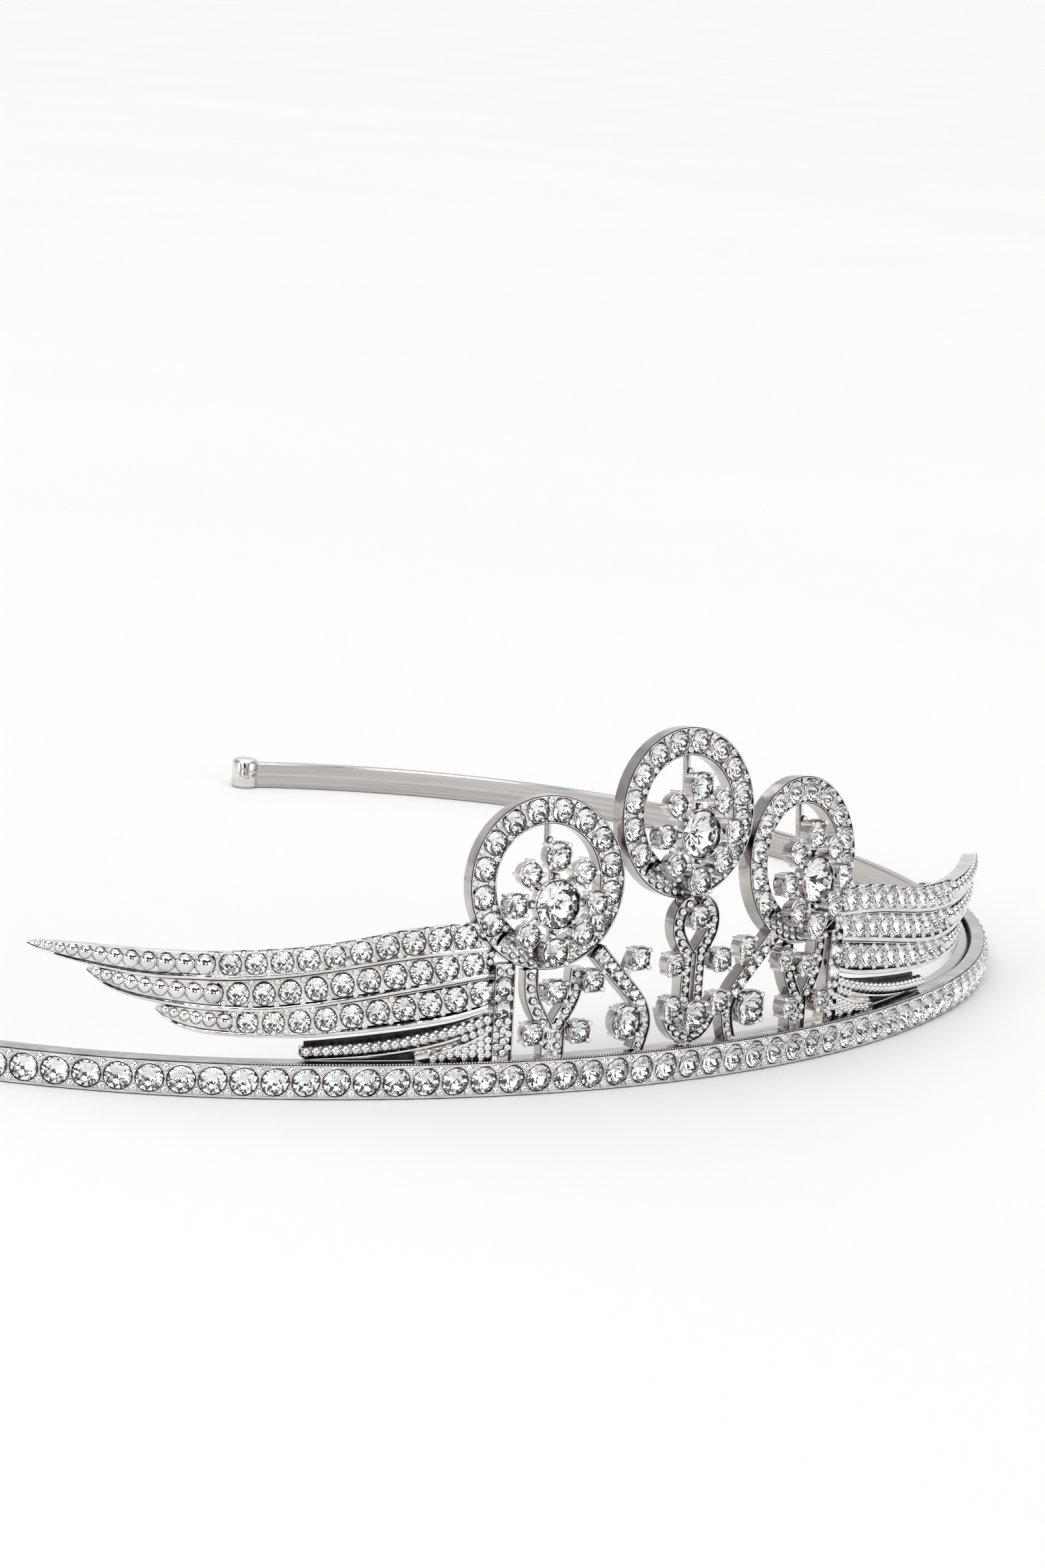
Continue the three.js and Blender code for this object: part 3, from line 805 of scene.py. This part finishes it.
def medallion(name, distance, height):
    """A ring set with stones above and fine beads below, and a flower hung in front of it."""
    place = standing(distance, CREST_SETBACK, CREST_LEAN)
    casting, tray = Casting(), Tray()
    outer, inner = RING_RADIUS, RING_RADIUS - RING_WIDTH
    sunk = 0.22
    stones_to = 6.1 * RING_PITCH

    def floor_at(degrees):
        return 1.0 if abs((degrees - 90 + 180) % 360 - 180) < stones_to else sunk

    ring = channel(0.16, FLOOR, RING_THICKNESS, 0.08)
    turned_ring(casting, place, height, outer, inner, ring, floor_at)
    casting.finish(f"{name}_ring_body", [f"{name}_medallion_ring"])
    middle = (outer + inner) / 2

    def at(radius, degrees):
        angle = math.radians(degrees)
        return radius * math.cos(angle), height + radius * math.sin(angle)

    for i in range(RING_STONES):
        x, z = at(middle, 90 + (i - (RING_STONES - 1) / 2) * RING_PITCH)
        tray.set_stone(place, x, 0.08, z, RING_STONE)
    for i in range(RING_STONES + 1):
        turn = (i - RING_STONES / 2) * RING_PITCH
        for radius in (inner + 0.47, outer - 0.47):
            x, z = at(radius, 90 + turn)
            tray.lay("beads", place, x, 0.1, z, 0.7)
        x, z = at(middle, 90 + turn)
        tray.lay("saddles", place, x, 0.16, z, 2.12, math.radians(turn))
    first, last = 90 + 6.5 * RING_PITCH, 450 - 6.5 * RING_PITCH
    for row, radius in enumerate((inner + 0.62, middle, outer - 0.62)):
        count = int(math.radians(last - first) * radius / 1.0)
        for i in range(count + 1):
            share = (i + (0.5 if row == 1 else 0)) / count
            if share <= 1:
                x, z = at(radius, first + (last - first) * share)
                uneven = 0.72 + 0.08 * math.sin(7 * i + 3 * row)
                tray.lay("beads", place, x, sunk - 0.04, z, uneven)
    flower(place, tray, name, height)
    petals = ("east", "north_east", "north", "north_west", "west", "south_west", "south",
              "south_east")
    tray.empty_out(f"{name}_medallion",
                   [f"{name}_flower_stone", *(f"{name}_petal_{p}" for p in petals)])


def flower(place, tray, name, height):
    """The centre stone in its scalloped cup and eight stones round it, each in its own cup and
    joined to the middle by a short bar, every other bar with a bead on it."""
    middle = height - FLOWER_DROP
    girdle, casting = FLOWER_GIRDLE, Casting()
    tray.stone(place, 0, girdle, middle, FLOWER_STONE)
    deep = CUP_HEIGHT / BIG_CUP_PROFILE[0][1]
    tray.lay("large_cups", place, 0, girdle, middle, (FLOWER_STONE, deep))
    cup = FLOWER_STONE / 2 + CUP_MARGIN
    claw = FLOWER_STONE / 2 + 0.16
    for i in range(CLAWS):
        angle = math.tau * (i + 0.5) / CLAWS
        tray.lay("prongs", place, claw * math.cos(angle), girdle - 0.08,
                 middle + claw * math.sin(angle), 0.46)
    for i in range(8):
        angle = math.tau * i / 8
        upright = i in (2, 6)
        size = UPRIGHT_STONE if upright else SIDE_STONE
        reach = cup + size / 2 + CUP_MARGIN + (0.25 if upright else 0.2 if i % 2 == 0 else 0)
        x, z = reach * math.cos(angle), middle + reach * math.sin(angle)
        tray.cup_stone(place, x, girdle, z, size, angle + math.pi / 4)
        bar = plain_bar(CUP_HEIGHT, CUP_HEIGHT / 2)
        start = 0.75 * FLOWER_STONE / 2
        line = [(start * math.cos(angle), middle + start * math.sin(angle)), (x, z)]
        strand(casting, place, line, 0.8, bar, 2, depth=girdle)
        if i % 2 == 0:
            joint = cup - 0.05
            tray.lay("beads", place, joint * math.cos(angle), girdle + 0.25,
                     middle + joint * math.sin(angle), 0.6)
    casting.finish(f"{name}_flower_bars", [f"{name}_flower_setting"])
    pin = Casting()
    top = height + RING_RADIUS - RING_WIDTH
    bottom = middle + cup + UPRIGHT_STONE / 2 + CUP_MARGIN
    strand(pin, place, [(0, bottom - 0.6), (0, top + 0.1)], 0.4, plain_bar(0.9, 0.2), 2)
    pin.finish(f"{name}_pin_post", [f"{name}_hanger_pin"])
    tray.lay("beads", place, 0, -0.05, (top + bottom) / 2, 0.6)


# ---- Stems ---------------------------------------------------------------------------------

BEADED = channel(0.14, 0.2, STEM_THICKNESS)
PLAIN = plain_bar(STEM_THICKNESS * 0.95, STEM_THICKNESS / 4)
STEM_BEAD = 0.86
BEAD_PITCH = 1.12
BEAD_DEPTH = 0.12
ARM_GIRDLE = -0.8


def beaded_strand(casting, tray, place, places, width=1.5, pitch=BEAD_PITCH, size=STEM_BEAD,
                  taper=1.0):
    line = strand(casting, place, places, width, BEADED, taper=taper)
    tray.beads_along(place, line, pitch, size, BEAD_DEPTH)


def centre_stem():
    place = standing(0.3, STEM_SETBACK, STEM_LEAN)
    casting, tray = Casting(), Tray()
    strand(casting, place, [(-2.6, 8.2), (2.6, 8.2)], 1.5, PLAIN, 2)
    strand(casting, place, [(0, 3.4), (0, 0.0)], 2.2, PLAIN, 4, 0.6)
    for side in (LEFT, RIGHT):
        loop = [(0.55, 8.7), (1.4, 9.8), (2.0, 10.9), (2.15, 12.0), (1.9, 12.9), (1.35, 13.5),
                (0.5, 13.9)]
        base = [(0.2, 0.75), (1.3, 1.1), (2.4, 2.2), (3.05, 3.9)]
        beaded_strand(casting, tray, place, [(side * x, z) for x, z in loop])
        beaded_strand(casting, tray, place, [(side * x, z) for x, z in base], 1.3, 0.95, 0.76)
        beaded_strand(casting, tray, place, [(side * 0.8, 8.9), (side * 0.8, 3.9)], 1.25, 0.98)
        tray.cup_stone(place, side * 2.9, ARM_GIRDLE, 8.2, 2.1)
        tray.cup_stone(place, side * 2.9, ARM_GIRDLE, 4.0, 2.1)
    tray.cup_stone(place, 0, -0.5, 12.5, 2.1)
    tray.cup_stone(place, 0, ARM_GIRDLE, 3.0, 2.7)
    casting.finish("centre_stem_body", ["centre_stem"])
    tray.empty_out("centre_stem", ["centre_loop_stone", "centre_base_stone"])


def side_stem(name, side):
    """Two strands that part from a foot and hold a stone between them, with an arm on each side."""
    place = standing(side * SIDE_STEM_SPACING, STEM_SETBACK, STEM_LEAN, side)
    casting, tray = Casting(), Tray(side)
    strand(casting, place, [(-2.6, 2.6), (2.6, 2.6)], 1.2, PLAIN, 2)
    strand(casting, place, [(-2.1, 6.3), (2.1, 6.3)], 1.2, PLAIN, 2)
    strand(casting, place, [(-2.2, 6.5), (-3.8, 7.2)], 1.0, PLAIN, 2)
    strand(casting, place, [(-0.3, 3.4), (-0.35, 0.0)], 2.5, BEADED, 4)
    for x, z in ((-0.85, 1.0), (0.2, 1.0), (-0.85, 2.0), (0.2, 2.0), (-0.3, 2.9)):
        tray.lay("beads", place, x, BEAD_DEPTH, z, 0.75)
    for way in (LEFT, RIGHT):
        loop = [(0.5, 2.8), (1.15, 3.8), (1.85, 5.0), (2.3, 6.3), (2.45, 8.4)]
        beaded_strand(casting, tray, place, [(way * x, z) for x, z in loop])
        tray.cup_stone(place, way * 2.5 - 0.2, ARM_GIRDLE, 2.5, 2.0)
    tray.cup_stone(place, -0.1, -0.5, 6.3, 2.1)
    tray.cup_stone(place, -3.8, ARM_GIRDLE, 7.3, 2.0)
    casting.finish(f"{name}_side_stem_body", [f"{name}_side_stem"])
    tray.empty_out(f"{name}_side_stem")


def branch(name, side):
    """The branch climbs from the rail, past its large stone, to the side medallion."""
    place = standing(side * BRANCH_SPACING, STEM_SETBACK, STEM_LEAN, side)
    casting, tray = Casting(), Tray(side)
    climb = [(-0.2, 0.0), (-0.65, 1.4), (-0.85, 2.7), (-0.4, 4.1), (0.6, 5.4), (1.9, 6.7),
             (3.2, 8.0), (4.95, 9.8)]
    line = strand(casting, place, climb, 1.45, channel(0.14, 0.2, STEM_THICKNESS), 30, 1.15)
    strand(casting, place, [(0.7, 9.0), (1.7, 6.6)], 1.0, PLAIN, 2)
    strand(casting, place, [(-0.6, 3.1), (1.7, 3.0)], 1.4, PLAIN, 2)
    low = line[:11]
    tray.beads_along(place, low, 0.95, 0.72, 0.2)
    high, turns = line[11:], normals_of(line)[11:]
    for i in range(6):
        at = round((i + 0.4) * (len(high) - 1) / 6)
        if i < 5:
            tray.set_stone(place, high[at].x, 0.04, high[at].y, 1.24, 0.3)
        beside = min(at + 1, len(high) - 1) if i < 5 else at
        for way in (-0.44, 0.44):
            spot = high[beside] + turns[beside] * way
            tray.lay("beads", place, spot.x, 0.16, spot.y, 0.5)
    tray.cup_stone(place, 1.7, -0.6, 3.0, 3.1)
    tray.cup_stone(place, 0.6, -0.6, 9.0, 2.0)
    casting.finish(f"{name}_branch_body", [f"{name}_branch"])
    tray.empty_out(f"{name}_branch", [f"{name}_branch_stone"])


def column(name, side):
    place = standing(side * (COLUMN_INNER_EDGE + COLUMN_WIDTH / 2), STEM_SETBACK, STEM_LEAN, side)
    casting, tray = Casting(), Tray(side)
    strand(casting, place, [(-0.25, 0.0), (-0.15, 4.0), (0.0, 9.0)], 2.1,
           channel(0.12, 0.3, STEM_THICKNESS), 8)
    tray.set_stone(place, -0.1, 0.05, 6.9, 1.72, 0.4)
    tray.set_stone(place, -0.15, 0.05, 4.8, 1.72, 0.4)
    for x, z in ((-0.6, 8.3), (0.45, 8.3), (-0.75, 5.85), (0.55, 5.85), (-0.7, 3.6), (0.3, 3.5),
                 (-0.25, 2.75),
                 (-0.85, 2.4), (0.45, 2.3), (-0.3, 1.7), (-0.85, 1.1), (0.35, 1.2), (-0.3, 0.6)):
        tray.lay("beads", place, x, 0.2, z, 0.84)
    casting.finish(f"{name}_column_body", [f"{name}_column"])
    tray.empty_out(f"{name}_column")


# ---- Wings ---------------------------------------------------------------------------------

# Edges between the feathers, tip first: share of the wing's length from its root, and rise.
UPPER_EDGE = [(1, 10), (0.9, 9.95), (0.69, 9.85), (0.54, 10.05), (0.35, 10.8), (0.17, 12.3),
              (-0.02, 12.9)]
FIRST_EDGE = [(1, 9.45), (0.93, 8.7), (0.81, 7.8), (0.69, 7.35), (0.47, 7.7), (0.17, 9.6),
              (-0.02, 10.15)]
SECOND_EDGE = [(0.87, 7.4), (0.82, 6.2), (0.74, 5.3), (0.6, 4.6), (0.45, 4.7), (0.17, 6.6),
               (-0.02, 7.85)]
THIRD_EDGE = [(0.72, 4.2), (0.67, 3.1), (0.6, 2.5), (0.46, 2.2), (0.34, 2.5), (0.1, 3.7),
              (-0.02, 4.9)]
QUILL_EDGE = [(0.41, 0.55), (0.3, 0.8), (0.22, 1.2), (0.15, 1.7), (0.06, 2.6), (-0.02, 3.3)]


def height_on(edge, share):
    """Height of an edge at a share of the wing's length, with the ends carried on level."""
    line = smooth_line(edge, 60)
    for a, b in zip(line, line[1:]):
        if b.x <= share <= a.x:
            return a.y + (b.y - a.y) * (a.x - share) / max(a.x - b.x, 1e-9)
    return line[0].y if share > line[0].x else line[-1].y


def feather(name, part, side, top, bottom, root, stone_rows, setback):
    """One feather: a broad polished lower border, a thin upper one, stones from the root and
    graduated beads to the tip. stone_rows is (stones, beads, share of the wing at the last bead,
    distance of the first stone from the root)."""
    place = following(side, CREST_SETBACK + setback, CREST_LEAN, RAIL_HEIGHT)
    casting, tray = Casting(), Tray(side)
    tip = min(top[0][0], bottom[0][0])
    stones, beads, tip_end, first_stone = stone_rows
    begin = WING_ROOT + WING_LENGTH * root
    border, thin_border, soft, full = 0.52, 0.1, 0.05, 2.5

    def edges_at(x):
        share = (x - WING_ROOT) / WING_LENGTH
        return height_on(bottom, share) + 0.04, height_on(top, share) - 0.03

    def row_at(x):
        low, high = edges_at(x)
        shrink = min(1.0, (high - low) / full)
        low, high = low + border * shrink, high - thin_border * shrink
        return (low + high) / 2, high - low

    # Stones and their spacing shrink a little from the root towards the tip.
    places, x = [], begin + first_stone
    for i in range(stones):
        middle, room = row_at(x)
        size = min(2.28 - 0.04 * i, room * 1.12)
        places.append((x, middle, size, room))
        tray.set_stone(place, x, 0.08, middle, size)
        x += 2.62 - 0.027 * i
    x -= 0.9
    stones_end = x
    steps, floors, edge_a, edge_b = 48, [], [], []
    for i in range(steps + 1):
        here = begin + (WING_ROOT + WING_LENGTH * tip - begin) * i / steps
        low, high = edges_at(here)
        low -= 0.3 * max(0.0, (i / steps - 0.65) / 0.35)
        close = math.sqrt(max(1 - (i / steps) ** 24, 0.0))
        middle = (low + high) / 2
        half = max((high - low) / 2 * close, 0.06)
        edge_a.append(Vector((here, middle - half)))
        edge_b.append(Vector((here, middle + half)))
        floors.append(1.0 if here < stones_end - 0.3 else 0.24)
    section = [("a", 0, WING_THICKNESS), ("a", 0, 0.12), ("a", soft, 0.03),
               ("a", border * 0.45, -0.02),
               ("a", border * 0.85, 0.03), ("a", border, FLOOR), ("b", thin_border + 0.03, FLOOR),
               ("b", thin_border, 0.02), ("b", soft, 0), ("b", 0, soft), ("b", 0, WING_THICKNESS)]
    finishes = [POLISHED] * 4 + [SHADOWED, POLISHED, SHADOWED] + [POLISHED] * 4
    ribbon(casting, place, edge_a, edge_b, (section, finishes), floors, full)
    casting.finish(f"{name}_{part}_body", [f"{name}_{part}"])
    for (xa, za, _, room), (xb, zb, _, _) in zip(places, places[1:]):
        for up in (-0.47, 0.45):
            tray.lay("beads", place, (xa + xb) / 2, 0.1, (za + zb) / 2 + up * min(room, 2.2), 0.68)
        tray.lay("saddles", place, (xa + xb) / 2, 0.14, (za + zb) / 2, 2.14,
                 math.atan2(zb - za, xb - xa))
    tray.lay("saddles", place, places[-1][0] + 1.22, 0.14, row_at(x)[0], 2.0)
    for up in (-0.42, 0.42):
        tray.lay("beads", place, stones_end - 0.15, 0.1, row_at(x)[0] + up * row_at(x)[1], 0.62)
    if first_stone > 1.5:
        first = places[0]
        tray.lay("saddles", place, first[0] - 1.22, 0.14, first[1] + 0.15, 2.14)
        for ahead, up in ((1.25, -0.4), (1.2, 0.42), (1.75, 0.05), (1.85, 0.44)):
            tray.lay("beads", place, first[0] - ahead, 0.1, first[1] + 0.15 + up * first[3], 0.72)
    run = WING_ROOT + WING_LENGTH * tip_end - x
    shares = [1.0 - 0.48 * i / (beads - 1) for i in range(beads)]
    for i, share in enumerate(shares):
        along = run / sum(shares)
        here = x + along * (sum(shares[:i]) + share / 2)
        middle, room = row_at(here)
        low, high = edges_at(here)
        size = min(along * share * 1.06, max(room * 1.06, (high - low) * 0.86))
        tray.lay("barrels", place, here, 0.14, middle - 0.02 * size, (size, size * 0.85))
    tray.empty_out(f"{name}_{part}")


def wing(name, side):
    """Three stone-set feathers over a beaded quill and a fan of short blades."""
    drop = abs(SIDE_RING_HEIGHT - 11.4)
    ring_edge = SIDE_RING_SPACING + math.sqrt(RING_RADIUS ** 2 - drop ** 2) - 0.1
    beside_ring = max((ring_edge - WING_ROOT) / WING_LENGTH, 0)
    for part, top, bottom, root, stone_rows, setback in (
        ("upper_feather", UPPER_EDGE, FIRST_EDGE, beside_ring, (10, 12, 0.988, 2.1), 0.0),
        ("middle_feather", FIRST_EDGE, SECOND_EDGE, -0.015, (10, 9, 0.86, 2.3), 0.12),
        ("lower_feather", SECOND_EDGE, THIRD_EDGE, -0.015, (10, 6, 0.708, 1.25), 0.24),
    ):
        feather(name, part, side, top, bottom, root, stone_rows, setback)
    quill_and_fan(name, side)


def quill_and_fan(name, side):
    place = following(side, CREST_SETBACK + 0.2, CREST_LEAN, RAIL_HEIGHT)
    web_and_shade, quill, fan, tray = Casting(), Casting(), Casting(), Tray(side)

    def along(places):
        return [(WING_ROOT + WING_LENGTH * share, rise) for share, rise in places]

    line = strand(quill, place,
                  along(((-0.01, 3.95), (0.05, 3.1), (0.13, 2.3), (0.22, 1.65), (0.31, 1.25),
                         (0.41, 1.0))),
                  1.0, plain_bar(1.2, 0.1, 0.12), 24, 0.9)
    tray.beads_along(place, line, 0.95, 0.98, 0.02)
    blade = along(((0.04, 2.5), (0.1, 1.75), (0.18, 1.1), (0.28, 0.6), (0.4, 0.3)))
    strand(quill, place, blade, 0.85, plain_bar(1.1, 0.12, 0.3), 20, 0.3)
    quill.finish(f"{name}_quill_body", [f"{name}_quill"])
    for places, width, beaded in (
        (((-0.012, 3.1), (0.02, 2.65), (0.06, 2.1)), 0.95, True),
        (((-0.012, 2.7), (0.04, 1.6), (0.1, 0.85), (0.16, 0.35)), 0.8, False),
        (((-0.012, 2.1), (0.03, 1.3), (0.08, 0.6), (0.13, 0.35)), 0.9, True),
        (((-0.012, 1.4), (0.02, 0.85), (0.06, 0.35)), 0.9, True),
        (((-0.012, 0.7), (0.02, 0.35)), 0.85, True),
    ):
        line = strand(fan, place, along(places), width, plain_bar(1.2, 0.1, 0.2), 14, 0.75)
        if beaded:
            tray.beads_along(place, line, 0.86, 0.84, 0.04)
    fan.finish(f"{name}_fan_body", [f"{name}_fan"])
    tray.empty_out(f"{name}_quill")
    # Backing plates behind the wing. The two near-black ones are painted shade, dark sheets in the
    # gaps between the feathers and under the lower feather; the stippled one is metal between the
    # quill and the fan.
    for first, last, low_edge, high_edge, depth, finish in (
        (0.01, 0.70, THIRD_EDGE, UPPER_EDGE, 1.0, SHADOWED),
        (-0.012, 0.16, None, QUILL_EDGE, 0.45, STIPPLED),
        (0.0, 0.4, None, THIRD_EDGE, 0.9, SHADOWED),
    ):
        edge_a, edge_b = [], []
        for i in range(31):
            share = first + (last - first) * i / 30
            x = WING_ROOT + WING_LENGTH * share
            low = 0.12 if low_edge is None else height_on(low_edge, share) + 0.3
            edge_a.append(Vector((x, low)))
            edge_b.append(Vector((x, max(height_on(high_edge, share) - 0.4, low + 0.1))))
        shape, _ = plain_bar(1.15, depth, 0.05)
        ribbon(web_and_shade, place, edge_a, edge_b, (shape, [finish] * 5 + [SHADED_SIDE]))
    web_and_shade.finish(f"{name}_wing_web", [])


# ---- The whole tiara -----------------------------------------------------------------------

headband()
crystal_rail()
medallion("left", -SIDE_RING_SPACING, SIDE_RING_HEIGHT)
medallion("centre", 0, CENTRE_RING_HEIGHT)
medallion("right", SIDE_RING_SPACING, SIDE_RING_HEIGHT)
centre_stem()
for name, side in SIDES:
    side_stem(name, side)
    branch(name, side)
    column(name, side)
    wing(name, side)
for shape, *_ in KINDS.values():
    bpy.data.objects.remove(shape)

# ---- Floor, light and camera ---------------------------------------------------------------


FLOOR_REACH = 20.0


def floor():
    mesh = bpy.data.meshes.new("table_top")
    corners = [(x * FLOOR_REACH, y * FLOOR_REACH, 0) for x,
               y in ((-1, -1), (1, -1), (1, 1), (-1, 1))]
    mesh.from_pydata(corners, [], [(0, 1, 2, 3)])
    material, graph, shader = new_material("white_table")
    graph.feed(shader, {
        "Base Color": graph.ramp(
            graph.noise(6, 3), [(0.3, (0.86, 0.86, 0.862)), (0.7, (0.875, 0.875, 0.875))]),
        "Roughness": 0.9,
        "Specular IOR Level": 0.0,
    })
    mesh.materials.append(material)
    top = add_object("table_top", mesh)


VIEW_AZIMUTH = math.radians(38.88)
VIEW_ELEVATION = math.radians(11.13)
VIEW_ROLL = math.radians(4.70)
VIEW_DISTANCE = 410.1
VIEW_LENS = 99.16
VIEW_SHIFT_RIGHT = -15.666
VIEW_SHIFT_UP = 28.152
TOWARDS_VIEWER = Vector((
    -math.sin(VIEW_AZIMUTH) * math.cos(VIEW_ELEVATION),
    -math.cos(VIEW_AZIMUTH) * math.cos(VIEW_ELEVATION),
    math.sin(VIEW_ELEVATION),
))


def camera():
    look = -TOWARDS_VIEWER
    right = Vector((math.cos(VIEW_AZIMUTH), -math.sin(VIEW_AZIMUTH), 0))
    up = right.cross(look)
    turned_right = right * math.cos(VIEW_ROLL) + up * math.sin(VIEW_ROLL)
    turned_up = up * math.cos(VIEW_ROLL) - right * math.sin(VIEW_ROLL)
    stand_at = (Vector((0, RAIL_FRONT, 0)) + VIEW_SHIFT_RIGHT * turned_right
                + VIEW_SHIFT_UP * turned_up - VIEW_DISTANCE * look)
    data = bpy.data.cameras.new("camera")
    data.sensor_fit = "VERTICAL"
    data.sensor_height = 36
    data.lens = VIEW_LENS
    data.clip_start, data.clip_end = 0.01, 60
    seat = add_object("camera", data)
    turn = Matrix((turned_right, turned_up, -look)).transposed().to_4x4()
    seat.matrix_world = Matrix.Translation(stand_at * MM) @ turn
    bpy.context.scene.camera = seat


def soft_light(name, position, size, power):
    data = bpy.data.lights.new(name, "AREA")
    data.shape = "RECTANGLE"
    data.size, data.size_y = size
    data.energy = power
    lamp = add_object(name, data)
    lamp.location = position
    lamp.rotation_euler = (-Vector(position)).to_track_quat("-Z", "Y").to_euler()


def diffuse_sun(position, strength):
    """A very wide, soft light from above and behind that lights the whole floor evenly."""
    data = bpy.data.lights.new("diffuse_sun", "SUN")
    data.angle = math.radians(50)
    data.energy = strength
    lamp = add_object("diffuse_sun", data)
    lamp.rotation_euler = Vector(position).to_track_quat("Z", "Y").to_euler()


def studio():
    """A white studio. Bright and dark bands lie in rings round the direction of the viewer, with
    dark patches and a dark ceiling band in the half near the viewer, and an even horizon."""
    world = bpy.data.worlds.new("studio")
    bpy.context.scene.world = world
    world.use_nodes = True
    graph = Graph(world.node_tree, "Generated")

    def greys(value, *stops):
        return graph.ramp(value, [(position, (v, v, v * 0.995)) for position, v in stops])

    def mix(factor, a, b, blend):
        return graph.node("Mix", {"Factor": factor, "A": a, "B": b},
                          data_type="RGBA", blend_type=blend).outputs["Result"]

    toward = graph.node("VectorMath", {0: graph.place, 1: TOWARDS_VIEWER}, operation="DOT_PRODUCT")
    arc = graph.node("Math", {0: toward.outputs["Value"]}, operation="ARCCOSINE")
    turn = graph.node("Math", {0: arc.outputs["Value"], 1: math.pi}, operation="DIVIDE")
    away = turn.outputs["Value"]  # 0 at the viewer, 1 opposite
    height = graph.node("SeparateXYZ", {"Vector": graph.place}).outputs["Z"]
    patches = graph.node("TexNoise", {"Scale": 2.6, "Detail": 1.5, "Vector": graph.place})
    bands = greys(
        away, (0.0, 0.02), (0.065, 0.02), (0.08, 2.5), (0.15, 2.5), (0.17, 0.03), (0.22, 0.03),
        (0.24, 2.2), (0.42, 1.9), (0.46, 0.5), (0.6, 0.45), (0.72, 0.8), (1.0, 0.9))
    dark_patches = greys(
        patches.outputs["Fac"], (0.0, 0.02), (0.40, 0.02), (0.42, 1.0), (0.6, 1.0), (0.64, 1.6))
    ceiling = greys(
        height, (0.0, 1), (0.38, 1), (0.42, 0.03), (0.64, 0.03), (0.69, 1.2), (1.0, 1.4))
    near = greys(away, (0.0, 1), (0.42, 1), (0.48, 0), (1.0, 0))
    horizon = greys(height, (0.0, 1), (0.02, 1), (0.06, 0), (1.0, 0))
    shade = mix(1, dark_patches, ceiling, "MULTIPLY")
    shaded = mix(near, bands, shade, "MULTIPLY")
    sky = mix(horizon, shaded, (0.93, 0.93, 0.93, 1), "MIX")
    graph.feed(graph.nodes["Background"], {"Color": sky, "Strength": 1.0})


floor()
studio()
soft_light("front_left", (-1.8, -0.7, 0.9), (0.5, 1.0), 6.4)
diffuse_sun((0.35, 0.5, 1.0), 0.40)
camera()
bpy.context.scene.view_settings.view_transform = "Standard"
bpy.context.scene.view_settings.look = "None"
